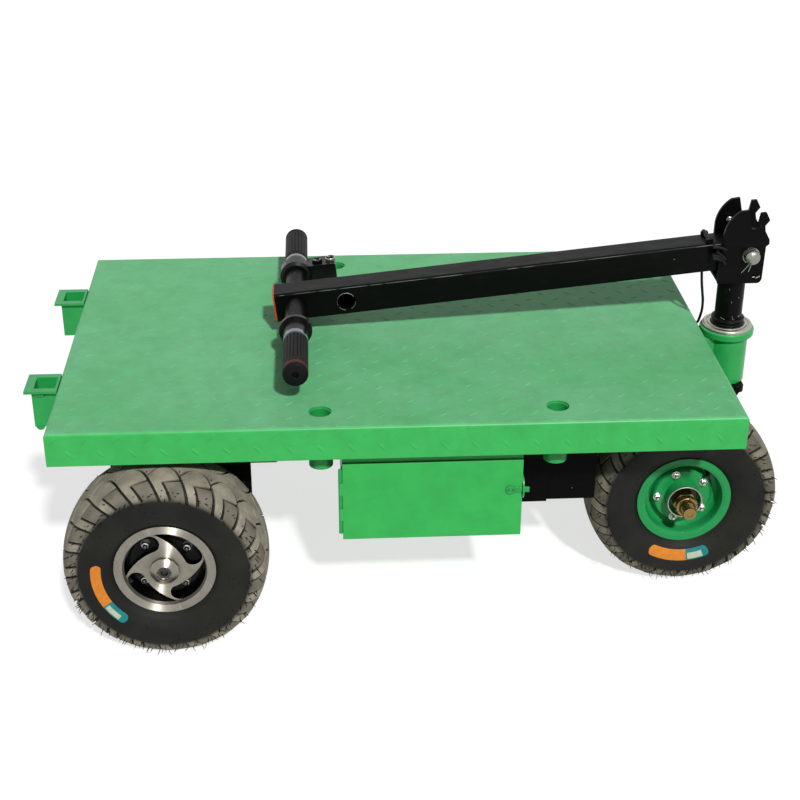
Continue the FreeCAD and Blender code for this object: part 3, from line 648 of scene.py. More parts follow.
rearFittings = {
    "count": 4,
    "ring": 51.0,
    "turn": 40.0,
    "seat": 30.5,
    "washer": [(0, 9.6), (1.2, 9.6), (1.6, 9.0), (1.6, 0)],
    "nut": (12.4, 9.2, 4.2),  # across its flats, height and radius of the bore
    "nutLift": 1.5,
    "nutTurn": 0.0,
    "bolt": [(0, 4.6), (11.4, 4.6), (13.6, 3.4), (14.4, 1.8), (14.6, 0)],
    "boltSteps": 18,
    "finishes": ("screw", "zinc"),
    # painted highlight: thin bright lines where the fans of light cross the ring
    "paintedHighlightLines": (106.0, 70.5, -74.6),  # degrees
    "paintedHighlightLine": [(73.5, 56.0), (86.5, 56.9)],  # radius and distance outward
    "paintedHighlightLineRadii": [0.9, 0.8],
    # from the boss's tip
    "bossTip": 66.0,
    "facets": 12,
    "facetTurn": 0.1,
    "cone": [(-10.2, 25.8), (-6.2, 26.4), (-4.4, 26.0), (3.9, 15.6), (4.5, 14.9), (4.1, 14.1), (-0.6, 13.6)],
    "plug": [(-4.8, 0), (-4.8, 10.6), (-1.2, 11.4), (0.6, 11.0), (0.6, 6.6)],
    "keyHole": [(0.7, 6.7), (-1.4, 6.2), (-4.4, 6.2), (-4.4, 0)],
    "plugRing": [(-3.2, 11.2), (-2.2, 13.4), (-1.6, 13.7)],
}

frontFittings = {
    "count": 5,
    "ring": 47.5,
    "turn": 37.0,
    "seat": 40.0,
    "washer": [(0, 8.4), (1.0, 8.4), (1.5, 7.8), (1.5, 0)],
    "nut": (11.0, 5.0, 3.6),
    "nutLift": 1.4,
    "nutTurn": 0.4,
    "bolt": [(0, 3.9), (6.8, 3.9), (8.4, 2.8), (8.8, 1.4), (8.9, 0)],
    "boltSteps": 16,
    "finishes": ("zinc", "zinc"),
    "hubTip": 65.0,
    # painted highlight: a bright steel bead on the hub tube's edge
    "lip": [(-1.2, 33.25), (-0.2, 32.9), (0.35, 31.8), (-0.2, 30.6), (-1.4, 29.9)],
}

axleNut = {
    "foot": 45.5,
    "washer": [(0, 13.0), (0, 25.5), (3.4, 25.5), (4.2, 24.6), (4.2, 13.0)],
    "nutLift": 4.0,
    "nut": (40.4, 22.0, 19.0),
    "nutTurn": 0.3,
    "crown": 71.5,
    "castle": [(0, 12.6), (0, 19.2), (1, 20.1), (12.2, 20.1), (13.4, 18.8), (13.6, 15.8), (12.6, 14.4)],
    "slots": 6,
    "slotTurn": 20,
    "slotSpan": (14.6, 19.6),
    "slotLift": 12.8,
    "slotRadius": 1.5,
    "spindleTip": 107.0,
    "spindle": [(-33.5, 13.1), (-1.4, 13.1), (0.6, 12.2), (1.5, 8.6), (1.6, 5.6), (0.6, 5.0), (0.5, 0)],
    "threads": 9,
    "threadPitch": 2.0,
    "thread": [(-20, 13.0), (-19, 13.6), (-18, 13.0)],
    "pinLift": 9.0,
    "pin": [(200, 23.5), (200, 12), (200, 0), (20, 12), (20, 22)],  # angle and radius
    "pinRadius": 1.7,
}

valve = {
    "turn": {"rear": 200.0, "front": 50.0},
    "foot": (70.5, 34.0),  # radius and distance outward
    "tip": (63.5, 57.0),
    "stem": [(0, 7.0), (3, 6.2), (6, 4.2), (14, 3.6), (14.5, 3.0), (15, 3.9), (23, 3.9), (24, 3.2), (24, 0)],
}


def wheelBolts(centre, outward, f):
    # washers, nuts and bolt ends in a ring
    plain, bright = f["finishes"]
    parts = []
    for k in range(f["count"]):
        place = onWheel(centre, outward, f["turn"] + k * 360 / f["count"], f["ring"], f["seat"])
        above = place + outward * f["nutLift"]
        parts.append(lathe(f["washer"], place, outward, 24, plain))
        parts.append(nut(above, outward, *f["nut"], bright, f["nutTurn"] + k))
        parts.append(lathe(f["bolt"], above, outward, f["boltSteps"], plain))
    return parts


def rearWheelParts(centre, outward):
    # painted highlight lines on the ring, bolts deep in the drum, and the boss's facets with its plug
    f = rearFittings
    parts = []
    for angle in f["paintedHighlightLines"]:
        line = [onWheel(centre, outward, angle, radius, along) for radius, along in f["paintedHighlightLine"]]
        parts.append(sweep(line, f["paintedHighlightLineRadii"], 8, "zinc"))
    parts += wheelBolts(centre, outward, f)
    tip = f["bossTip"]
    parts.append(lathe(moved(f["cone"], tip), centre, outward, f["facets"], "polish", f["facetTurn"]))
    parts.append(lathe(moved(f["plug"], tip), centre, outward, 32, "screw"))
    parts.append(lathe(moved(f["keyHole"], tip), centre, outward, 6, "screw"))
    parts.append(lathe(moved(f["plugRing"], tip), centre, outward, 32, "zinc"))
    return parts


def frontWheelParts(centre, outward):
    # bolts round the raised middle and a bright steel lip on the hub tube, a painted highlight of its edge
    f = frontFittings
    return wheelBolts(centre, outward, f) + [lathe(moved(f["lip"], f["hubTip"]), centre, outward, 64, "race")]


def axleNutParts(centre, outward):
    # washer, castle nut with its slots and pin, and the threaded end of the spindle
    a = axleNut
    crown, tip = a["crown"], a["spindleTip"]
    parts = [lathe(moved(a["washer"], a["foot"]), centre, outward, 40, "screw")]
    seat = centre + outward * (a["foot"] + a["nutLift"])
    parts.append(nut(seat, outward, *a["nut"], "brown", a["nutTurn"]))
    parts.append(lathe(moved(a["castle"], crown), centre, outward, 40, "brown"))
    for k in range(a["slots"]):
        angle = a["slotTurn"] + 360 / a["slots"] * k
        line = [onWheel(centre, outward, angle, radius, crown + a["slotLift"]) for radius in a["slotSpan"]]
        parts.append(sweep(line, a["slotRadius"], 6, "screw"))
    parts.append(lathe(moved(a["spindle"], tip), centre, outward, 32, "brown"))
    for k in range(a["threads"]):
        parts.append(lathe(moved(a["thread"], tip + k * a["threadPitch"]), centre, outward, 28, "brown"))
    pin = [onWheel(centre, outward, angle, radius, crown + a["pinLift"]) for angle, radius in a["pin"]]
    parts.append(sweep(pin, a["pinRadius"], 8, "screw"))
    return parts


def valveParts(centre, outward, end):
    # rubber stem out of the rim's well, with a cap
    v = valve
    foot, tip = (onWheel(centre, outward, v["turn"][end], *v[k]) for k in ("foot", "tip"))
    return [lathe(v["stem"], foot, (tip - foot).normalized(), 18, "plastic")]


# arm and handle bar

handle = {
    "pivotToBar": 857.0,
    "fold": 6.0,
}

grip = {
    "radius": 22.4,
    "right": (182.0, 311.0),
    "left": (190.0, 322.0),
    "ribs": 21,
    "ribSteps": 6,
    "ribDepth": 1.9,
    "plain": (5.5, 20.5),  # lengths without ribs at the inner and outer end
    "rows": 12,
    "innerEnd": [(0, 14.0), (0, 20.2), (1.0, 21.8), (4.5, 21.8), (5.5, 22.4)],
    "outerEnd": [(-19.5, 21.5), (-9.0, 21.5), (-8.0, 22.4), (-4.0, 22.4), (-1.4, 21.1), (0, 18.4),
                 (0, 6.5), (-1.0, 5.5), (-8.0, 5.5), (-8.0, 0.01)],
    "band": [(-18.6, 21.2), (-18.0, 22.5), (-10.6, 22.5), (-10.0, 21.2)],
}

sleeve = {
    "right": (138.0, 181.6),
    "left": (147.0, 189.6),
    "innerEnd": [(0, 20.65), (0.8, 21.25)],
    "outerEnd": [(-1.6, 21.25), (0, 20.35)],
    "collar": [(-15.0, 21.45), (-13.6, 22.85), (-6.0, 22.85), (-1.2, 18.65)],
    "facets": 14,
    "turn": 0.15,
}

armMarks = {
    "seed": 5,
    "span": (48.0, 880.0),
    "end": 885.0,
    "corner": 26.6,
    "edges": [(-1, -1, 0.9), (1, -1, 0.6), (-1, 1, 0.35)],  # across, down, and how much of it has a pale line
    "length": (12, 80),
    "gap": (1, 14),
    "thick": (0.35, 0.6),
    "thin": 0.15,
    "steps": (0, 0.3, 0.7, 1),
    "hole": (762.0, -28.05),
    "holeRadius": 17.2,
    "holeArcs": [(-150, 20), (35, 80), (120, 175)],  # degrees
    "holeStep": 5,
    "holeThick": 0.6,
}

switches = {
    "key": (813, 136, -23),  # along the arm, across it and down from its middle
    "keyPlate": [(-1.5, 9.6), (1.4, 9.6), (2.2, 9.0), (2.4, 7.6), (1.6, 7.2), (1.6, 0)],
    "keyHandle": [(-5.2, -0.9), (5.2, -0.9), (5.2, 0.9), (-5.2, 0.9)],
    "keyFoot": 1.5,
    "keyHeight": 2.6,
    "keyRing": [(-0.4, 7.0), (1.7, 7.0), (1.9, 6.4), (1.9, 5.6)],
    "button": (787, 136, -25),
    "buttonRing": [(-4.5, 9.8), (0.2, 9.8), (1.0, 9.2), (1.0, 7.9), (0.2, 7.6)],
    "buttonCap": [(0.1, 7.6), (2.4, 7.2), (3.2, 5.8), (3.5, 0)],
    "marks": [("key", 1.75, 4.2, -70), ("button", 3.3, 4.6, -80)],  # height, radius and first angle
    "markSweep": 150,
    "markStep": 15,
    "markThick": 0.55,
    "screws": [(831, 119, -19), (831, 153, -19)],
    "screw": [(0, 2.6), (0.9, 2.6), (1.4, 1.9), (1.4, 1.2), (0.7, 1.0), (0.7, 0)],
}

clamps = {
    "screw": [(-1.0, 3.1), (1.0, 3.1), (1.5, 2.6), (1.5, 1.5), (0.2, 1.4), (0.2, 0)],
    "screws": [(1, 125, 31), (1, 137, 31), (-1, 131, 30)],  # side, distance along the bar and radius
    "screwTurns": (-62, 118),
    "splits": [(1, 117.5, 141.5, 31.05), (-1, 128.5, 136.5, 30.05)],  # side, first, last and radius
    "splitTurns": (28, 208),
    "splitThick": 0.45,
}


def onArm(x, y, z):
    # point given along the arm from the pivot, across it, and down from its middle
    fold = math.radians(handle["fold"])
    across = Vector((-x * math.cos(fold) + z * math.sin(fold), y, -x * math.sin(fold) - z * math.cos(fold)))
    return middle("pivot_pin") / mm + across


def armUp():
    fold = math.radians(handle["fold"])
    return Vector((-math.sin(fold), 0, math.cos(fold)))


def armBack():
    fold = math.radians(handle["fold"])
    return Vector((-math.cos(fold), 0, -math.sin(fold)))


def barMiddle():
    return onArm(handle["pivotToBar"], 0, 0)


def fromBar(degrees):
    # straight out of the bar; 0 is up off the arm and 90 back along it
    return armUp() * math.cos(math.radians(degrees)) + armBack() * math.sin(math.radians(degrees))


def gripParts(side, near, far, banded):
    # moulded grip with lengthwise ribs between plain ends; a hole in the end cap
    g = grip
    first, last = near + g["plain"][0], far - g["plain"][1]
    rows = moved(g["innerEnd"], near)
    rows += [(first + (last - first) * k / g["rows"], g["radius"]) for k in range(1, g["rows"] + 1)]
    rows += moved(g["outerEnd"], far)
    count = g["ribs"] * g["ribSteps"]
    centre, up, back = barMiddle(), armUp(), armBack()
    points = []
    for along, radius in rows:
        depth = g["ribDepth"] if first <= along < last else 0.0
        for k in range(count):
            angle = 2 * math.pi * k / count
            reach = radius - depth * max(0.0, math.cos(angle * g["ribs"])) ** 2
            out = up * math.cos(angle) + back * math.sin(angle)
            points.append(centre + axisY * side * along + out * reach)
    parts = [(points, ring(len(rows), count), "grip")]
    if banded:
        parts.append(lathe(moved(g["band"], far), centre, axisY * side, 72, "gripRing"))
    return parts


def sleeveParts(side, near, far):
    # a plain tube, and a facetted collar against the grip, chamfered wide enough to catch the light
    s = sleeve
    centre, axis = barMiddle(), axisY * side
    return [lathe(moved(s["innerEnd"], near) + moved(s["outerEnd"], far), centre, axis, 56, "sleeve"),
            lathe(moved(s["collar"], far), centre, axis, s["facets"], "chamfer", s["turn"])]


def armEdgeWearAndHighlight():
    # pale steel lines along the arm's rolled corners and round its hole: worn paint, and also a painted
    # highlight on the edges
    m = armMarks
    chance = random.Random(m["seed"])
    parts = []
    for across, down, cover in m["edges"]:
        x, stop = m["span"]
        while x < stop:
            length = chance.uniform(*m["length"])
            if chance.random() < cover:
                thick = chance.uniform(*m["thick"])
                line = [onArm(min(x + length * k, m["end"]), across * m["corner"], down * m["corner"])
                        for k in m["steps"]]
                parts.append(sweep(line, [m["thin"], thick, thick, m["thin"]], 5, "edge"))
            x += length + chance.uniform(*m["gap"])
    (x, face), radius = m["hole"], m["holeRadius"]
    for first, last in m["holeArcs"]:
        angles = [math.radians(a) for a in range(first, last + 1, m["holeStep"])]
        arc = [onArm(x + radius * math.cos(a), face, radius * math.sin(a)) for a in angles]
        parts.append(sweep(arc, m["holeThick"], 5, "edge"))
    return parts


def switchParts():
    # key switch with its plate, a ringed push button and two screws on top of the switch block
    s = switches
    up, back = armUp(), armBack()
    key, button = onArm(*s["key"]), onArm(*s["button"])
    keyHandle = [key + up * s["keyFoot"] + back * x + axisY * y for x, y in s["keyHandle"]]
    parts = [lathe(s["keyPlate"], key, up, 36, "plastic"),
             slab(keyHandle, up * s["keyHeight"], "plastic"),
             lathe(s["keyRing"], key, up, 36, "zinc"),
             lathe(s["buttonRing"], button, up, 36, "zinc"),
             lathe(s["buttonCap"], button, up, 30, "plastic")]
    for name, height, radius, first in s["marks"]:
        centre = (key if name == "key" else button) + up * height
        angles = [math.radians(a) for a in range(first, first + s["markSweep"], s["markStep"])]
        arc = [centre + (back * math.cos(a) + axisY * math.sin(a)) * radius for a in angles]
        parts.append(sweep(arc, s["markThick"], 6, "mark"))
    return parts + [lathe(s["screw"], onArm(*place), up, 16, "screw") for place in s["screws"]]


def clampParts():
    # socket screws and split lines of the throttle housing and the collar
    c = clamps
    centre = barMiddle()
    parts = []
    for side, along, radius in c["screws"]:
        for out in (fromBar(a) for a in c["screwTurns"]):
            parts.append(lathe(c["screw"], centre + axisY * side * along + out * radius, out, 14, "screw"))
    for side, first, last, radius in c["splits"]:
        for out in (fromBar(a) for a in c["splitTurns"]):
            line = [centre + axisY * side * y + out * radius for y in (first, last)]
            parts.append(sweep(line, c["splitThick"], 6, "plastic"))
    return parts


# pivot and column; places are from the pivot pin's middle

pivot = {
    "domeFoot": 39.0,
    "dome": [(0, 14.8), (1.4, 14.8), (2.4, 14.2), (4.2, 12.6), (5.4, 10.4), (5.8, 8.2)],
    "headFoot": 46.0,
    "head": [(-4, 14.4), (0.8, 14.4), (3.0, 13.6), (5.4, 11.0), (7.2, 6.8), (7.8, 3.2), (7.9, 0)],
    "farBolt": (-30.0, 31.0, 48.0),  # on the inner side of the far plate
    "farNut": (12.0, 5.0, 3.5),
    "farNutTurn": 0.3,
    "farEnd": [(0, 3.8), (7.5, 3.8), (8.6, 2.6), (8.8, 0)],
    "chipSide": -37.1,
    "chips": [((6, -43), (11, -42)), ((13, -45), (17, -42.5)), ((18, -43), (20, -41))],
    "chipRadii": [0.5, 0.9],
    "pinSide": -47.5,
    "eyeMiddle": (4, 13.5),
    "eyeSize": (2.4, 2.6),
    "eyeAngles": (-60, 240, 20),
    "eyeThick": 0.85,
    "legSide": -47.9,
    "legs": [((1, 9), (-4, -8), (-11, -19), (-19, -29)), ((2, 9), (-1, -9), (-4, -20), (-6, -27))],
    "legThick": 0.95,
}

bearing = {
    "race": [(-0.6, 47.2), (0.9, 46.6), (1.4, 45.4), (1.4, 41.0), (0.2, 40.4), (0.2, 38.6), (1.8, 38.0),
             (2.4, 37.0), (2.4, 33.4), (0.4, 32.6)],
    "wiper": [(-0.4, 32.8), (1.4, 32.4), (1.8, 31.6), (0.2, 31.2)],
    "seal": [(-2.4, 30.0), (-1.4, 31.6), (0, 32.0), (1.4, 31.6), (2.4, 30.0)],
    "sealHeights": (4.4, 12.6),
}

column = {
    "chipRadius": 26.1,
    "chips": [(-118, 16, 3, 9), (-100, 14, 2, -7), (-84, 18, 6, 2), (-72, 15, 3, 8), (-60, 21, 2, -5),
              (-96, 52, 3, 1), (-66, 61, 2, 2), (-110, 78, 3, 1)],  # angle, height, length and lean
    "chipRadii": [0.8, 0.4],
    "tieSide": -40.5,
    "tieRadius": 4.2,
    "tie": [((-49, -14), (-57, -4), (-65, 3), (-76, 5)), ((-50, 15), (-62, 20), (-76, 22)),
            ((-50, -4), (-60, 6), (-68, 12)), ((-58, -6), (-66, -2), (-74, -1))],
}


def fromPivot(x, y, z):
    return middle("pivot_pin") / mm + Vector((x, y, z))


def pivotParts():
    # domed washers, the pin's rounded end, the split pin through it, a bolt end and chipped paint
    p = pivot
    centre = fromPivot(0, 0, 0)
    parts = []
    for axis in (-axisY, axisY):
        parts.append(lathe(p["dome"], centre + axis * p["domeFoot"], axis, 48, "dome"))
    farBolt = fromPivot(*p["farBolt"])
    parts.append(nut(farBolt, -axisY, *p["farNut"], "dome", p["farNutTurn"]))
    parts.append(lathe(p["farEnd"], farBolt, -axisY, 16, "dome"))
    for ends in p["chips"]:
        line = [fromPivot(x, p["chipSide"], z) for x, z in ends]
        parts.append(sweep(line, p["chipRadii"], 6, "mark"))
    parts.append(lathe(p["head"], centre - axisY * p["headFoot"], -axisY, 40, "dome"))
    (x, z), (wide, tall), (first, last, step) = p["eyeMiddle"], p["eyeSize"], p["eyeAngles"]
    angles = [math.radians(a) for a in range(first, last + 1, step)]
    eye = [fromPivot(x + wide * math.cos(a), p["pinSide"], z + tall * math.sin(a)) for a in angles]
    parts.append(sweep(eye, p["eyeThick"], 6, "dome"))
    for leg in p["legs"]:
        line = smoothLine([tuple(fromPivot(x, p["legSide"], z)) for x, z in leg], 5)
        parts.append(sweep(line, p["legThick"], 6, "dome"))
    return parts


def columnFoot():
    # where the column leaves the head bearing
    low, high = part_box("head_bearing")
    return Vector(((low.x + high.x) / 2, 0, high.z)) / mm


def bearingParts():
    # stepped thrust race over the head ring, and its rubber wiper
    return [lathe(bearing["race"], columnFoot(), axisZ, 72, "race"),
            lathe(bearing["wiper"], columnFoot(), axisZ, 64, "plastic")]


def columnParts():
    # seals round the column's foot, chipped paint above them, and the torn ends of a cable tie
    c = column
    foot = columnFoot()
    parts = [lathe(moved(bearing["seal"], z), foot, axisZ, 56, "plastic") for z in bearing["sealHeights"]]
    for angle, height, length, lean in c["chips"]:
        a = math.radians(angle)
        out = axisX * math.cos(a) + axisY * math.sin(a)
        start = foot + out * c["chipRadius"] + axisZ * height
        chip = [start, start + axisZ * length + out.cross(axisZ) * lean]
        parts.append(sweep(chip, c["chipRadii"], 6, "edge"))
    for tail in c["tie"]:
        line = smoothLine([tuple(fromPivot(x, c["tieSide"], z)) for x, z in tail], 4)
        parts.append(sweep(line, c["tieRadius"], 8, "plastic"))
    return parts


# socket and door

socket = {
    "tab": [(0, 0), (0, -4), (2, -6.8), (5, -8), (20, -8), (20, 0)],
    "tabSheet": 3.0,
    "tabFromEdge": 2.5,
    "flange": 5.0,
    "tubeInset": 9.0,
    "tubeBack": 12.0,
    "paintedGapShadow": 0.7,
    "paintedGapShadowDrop": 0.4,
    "lugRadius": 8.0,
    "lugSheet": 4.0,
    "lugFromEdge": 10.0,
    "lugLift": 0.5,
    "lugStep": 15,  # degrees
}

hasp = {
    "middle": 9.0,  # from the plate's near end
    "rivets": (-4.2, 4.2),
    "rivet": [(-0.5, 1.7), (0.5, 1.7), (1.1, 1.1), (1.3, 0)],
    "rim": 8.4,
    "rimLift": 0.1,
    "rimThick": 0.55,
    "rimSteps": 28,
}


def socketParts():
    # welded tab under the near socket's flange, a dark line round it as painted shadow in the gap, and a lug
    # at the socket's foot
    s = socket
    low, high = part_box("rear_socket_right")
    low, high = low / mm, high / mm
    face, edge = low.y + s["tubeInset"], low.x + s["tubeBack"]
    tab = [(edge + s["tabFromEdge"] + x, high.z - s["flange"] + z) for x, z in s["tab"]]
    paintedGapShadow = [Vector((x, face - s["tabSheet"] / 2, z - s["paintedGapShadowDrop"])) for x, z in tab]
    angles = [math.radians(a) for a in range(180, 361, s["lugStep"])]
    lug = [Vector((edge + s["lugFromEdge"] + s["lugRadius"] * math.cos(a), face,
                   low.z + s["lugLift"] + s["lugRadius"] * math.sin(a))) for a in angles]
    return [slab([Vector((x, face, z)) for x, z in tab], -axisY * s["tabSheet"], "green"),
            # painted shadow: a dark line along the tab's outline
            sweep(paintedGapShadow, s["paintedGapShadow"], 6, "dull"),
            slab(lug, axisY * s["lugSheet"], "green")]


def haspParts():
    # two rivets and the pressed rim of the round hasp plate
    h = hasp
    low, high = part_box("hasp_plate")
    centre = Vector((low.x / mm + h["middle"], low.y / mm, (low.z + high.z) / 2 / mm))
    parts = [lathe(h["rivet"], centre + axisX * x, -axisY, 12, "screw") for x in h["rivets"]]
    angles = [2 * math.pi * k / h["rimSteps"] for k in range(h["rimSteps"] + 1)]
    outs = [axisX * math.cos(a) + axisZ * math.sin(a) for a in angles]
    rim = [centre - axisY * h["rimLift"] + out * h["rim"] for out in outs]
    return parts + [sweep(rim, h["rimThick"], 6, "green", caps=False)]


# cable

cable = {
    "radius": 2.6,
    # points from the pivot
    "upper": [(-81.4, 0.0, -38.3), (-79.4, 1.5, -60.0), (-75.0, 6.5, -84.0), (-69.0, 16.0, -108.0)],
    "lower": [(-69.0, 16.0, -108.0), (-64.5, 27.0, -131.0), (-63.5, 41.0, -156.0), (-66.0, 49.0, -177.0),
              (-74.5, 49.6, -178.5)],
    "steps": 8,
    "bodies": {"upper": ("tiller", "steering"), "lower": ("steering", "chassis")},
}


def splineLine(name, route):
    curve = bpy.data.curves.new(name, "CURVE")
    curve.dimensions = "3D"
    line = curve.splines.new("NURBS")
    line.points.add(len(route) - 1)
    for point, place in zip(line.points, route):
        point.co = (*(Vector(place) * mm), 1)
    line.order_u = 3
    line.use_endpoint_u = True
    line.resolution_u = cable["steps"]
    holder = bpy.data.objects.new(name, curve)
    mesh = bpy.data.meshes.new_from_object(holder)
    points = [v.co.copy() for v in mesh.vertices]
    bpy.data.objects.remove(holder)
    bpy.data.meshes.remove(mesh)
    return points


def makeCable():
    # upper half runs from arm to column, lower half from column to deck
    for name, bodies in cable["bodies"].items():
        points = splineLine("cable" + name.title(), [fromPivot(*p) for p in cable[name]])
        tube = sweep([p / mm for p in points], cable["radius"], 14, "jacket")
        piece = build("cable" + name.title(), [tube], None, ["cable_" + name])
        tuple(points[0])
        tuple(points[-1])
        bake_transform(piece)
        length = sum((b - a).length for a, b in zip(points, points[1:]))
        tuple(points[0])


# materials; scales are real sizes in millimetres

def sprayedEnamel(name, colour, dusty, dust, rough):
    # air-dried enamel over plate: faint orange peel, and flat tops duller and mixed towards a second colour:
    # paler from dust and wear on most pieces, darker as painted shade on the battery box and door
    material, tree, shader, place = newMaterial(name, {"IOR": 1.5, "Specular IOR Level": 0.28})
    facing = addNode(tree, "SeparateXYZ", links={0: addNode(tree, "NewGeometry").outputs["Normal"]})
    lying = addNode(tree, "MapRange", {"From Min": 0.5, "From Max": 0.95, "To Min": 0.06, "To Max": dust},
                    {"Value": facing.outputs["Z"]})
    broad = addNode(tree, "TexNoise", {"Scale": perMm(190), "Detail": 4.0, "Roughness": 0.55},
                    {"Vector": place})
    patchy = addNode(tree, "MapRange", {"From Min": 0.32, "From Max": 0.66, "To Min": 0.62, "To Max": 1.0},
                     {"Value": broad.outputs["Fac"]})
    amount = addNode(tree, "Math", {"operation": "MULTIPLY"}, {0: lying.outputs[0], 1: patchy.outputs[0]})
    # the second colour is dust on most pieces, and painted shade on the battery box and door
    base = addNode(tree, "MixRGB", {"Color1": colour, "Color2": dusty}, {"Fac": amount.outputs[0]})
    fine = addNode(tree, "TexNoise", {"Scale": perMm(38), "Detail": 6.0, "Roughness": 0.62},
                   {"Vector": place})
    shade = addNode(tree, "ValToRGB", {"stops": [(0.34, 0.88), (0.6, 1.0)]}, {"Fac": fine.outputs["Fac"]})
    toned = addNode(tree, "MixRGB", {"blend_type": "MULTIPLY", "Fac": 1.0},
                    {"Color1": base.outputs[0], "Color2": shade.outputs[0]})
    grit = addNode(tree, "TexVoronoi", {"Scale": perMm(85)}, {"Vector": place})
    speck = addNode(tree, "ValToRGB", {"stops": [(0.011, 0.25), (0.019, 1.0)]},
                    {"Fac": grit.outputs["Distance"]})
    final = addNode(tree, "MixRGB", {"blend_type": "MULTIPLY", "Fac": 0.75},
                    {"Color1": toned.outputs[0], "Color2": speck.outputs[0]})
    tree.links.new(final.outputs[0], shader.inputs["Base Color"])
    gloss = addNode(tree, "MapRange", {"To Min": rough, "To Max": rough + 0.22}, {"Value": amount.outputs[0]})
    tree.links.new(gloss.outputs[0], shader.inputs["Roughness"])
    edge = addNode(tree, "Bevel", {"samples": 4, "Radius": 1.2 * mm})
    sheet = addNode(tree, "TexNoise", {"Scale": perMm(150), "Detail": 1.0}, {"Vector": place})
    wavy = addNode(tree, "Bump", {"Strength": 0.5, "Distance": 1.1 * mm},
                   {"Height": sheet.outputs["Fac"], "Normal": edge.outputs[0]})
    # orange peel is about 1 mm across, drawn at 3 mm so that it shows
    peel = addNode(tree, "TexNoise", {"Scale": perMm(3), "Detail": 2.0}, {"Vector": place})
    skin = addNode(tree, "Bump", {"Strength": 1.0, "Distance": 0.035 * mm},
                   {"Height": peel.outputs["Fac"], "Normal": wavy.outputs[0]})
    tree.links.new(skin.outputs[0], shader.inputs["Normal"])
    return material


def powderCoat(name, colour, scuffed, rough, sheen):
    # baked powder on steel: fine even grain, satin faces, and edges that catch the light as thin lines
    material, tree, shader, place = newMaterial(name, {"IOR": 1.5, "Specular IOR Level": sheen})
    rub = addNode(tree, "Mapping", {"Scale": (0.4, 1.0, 1.0)}, {"Vector": place})
    scuff = addNode(tree, "TexNoise", {"Scale": perMm(16), "Detail": 7.0, "Roughness": 0.68},
                    {"Vector": rub.outputs[0]})
    worn = addNode(tree, "ValToRGB", {"stops": [(0.56, 0.0), (0.74, 0.6)]}, {"Fac": scuff.outputs["Fac"]})
    base = addNode(tree, "MixRGB", {"Color1": colour, "Color2": scuffed}, {"Fac": worn.outputs[0]})
    chip = addNode(tree, "TexVoronoi", {"Scale": perMm(42)}, {"Vector": place})
    bare = addNode(tree, "ValToRGB", {"stops": [(0.016, 1.0), (0.026, 0.0)]},
                   {"Fac": chip.outputs["Distance"]})
    final = addNode(tree, "MixRGB", {"Color2": "#8d8c86"},
                    {"Fac": bare.outputs[0], "Color1": base.outputs[0]})
    tree.links.new(final.outputs[0], shader.inputs["Base Color"])
    gloss = addNode(tree, "MapRange",
                    {"From Min": 0.35, "From Max": 0.7, "To Min": rough, "To Max": rough + 0.2},
                    {"Value": scuff.outputs["Fac"]})
    tree.links.new(gloss.outputs[0], shader.inputs["Roughness"])
    edge = addNode(tree, "Bevel", {"samples": 4, "Radius": 1.0 * mm})
    # the grain is near 0.3 mm, drawn at 1.5 mm so that it shows
    grain = addNode(tree, "TexNoise", {"Scale": perMm(1.5), "Detail": 2.0}, {"Vector": place})
    skin = addNode(tree, "Bump", {"Strength": 1.0, "Distance": 0.03 * mm},
                   {"Height": grain.outputs["Fac"], "Normal": edge.outputs[0]})
    tree.links.new(skin.outputs[0], shader.inputs["Normal"])
    return material


def castMetal(name, colour, shadowed, metallic, rough, grainSize, depth):
    # cast skin: matt and slightly uneven, with brighter patches where it has been handled or machined
    material, tree, shader, place = newMaterial(name, {"Metallic": metallic, "Specular IOR Level": 0.2})
    broad = addNode(tree, "TexNoise", {"Scale": perMm(34), "Detail": 5.0}, {"Vector": place})
    tone = addNode(tree, "ValToRGB", {"stops": [(0.36, shadowed), (0.62, colour)]},
                   {"Fac": broad.outputs["Fac"]})
    tree.links.new(tone.outputs[0], shader.inputs["Base Color"])
    gloss = addNode(tree, "MapRange",
                    {"From Min": 0.35, "From Max": 0.65, "To Min": rough + 0.12, "To Max": rough},
                    {"Value": broad.outputs["Fac"]})
    tree.links.new(gloss.outputs[0], shader.inputs["Roughness"])
    edge = addNode(tree, "Bevel", {"samples": 4, "Radius": 1.1 * mm})
    grain = addNode(tree, "TexNoise", {"Scale": perMm(grainSize), "Detail": 3.0}, {"Vector": place})
    skin = addNode(tree, "Bump", {"Strength": 1.0, "Distance": depth * mm},
                   {"Height": grain.outputs["Fac"], "Normal": edge.outputs[0]})
    tree.links.new(skin.outputs[0], shader.inputs["Normal"])
    return material


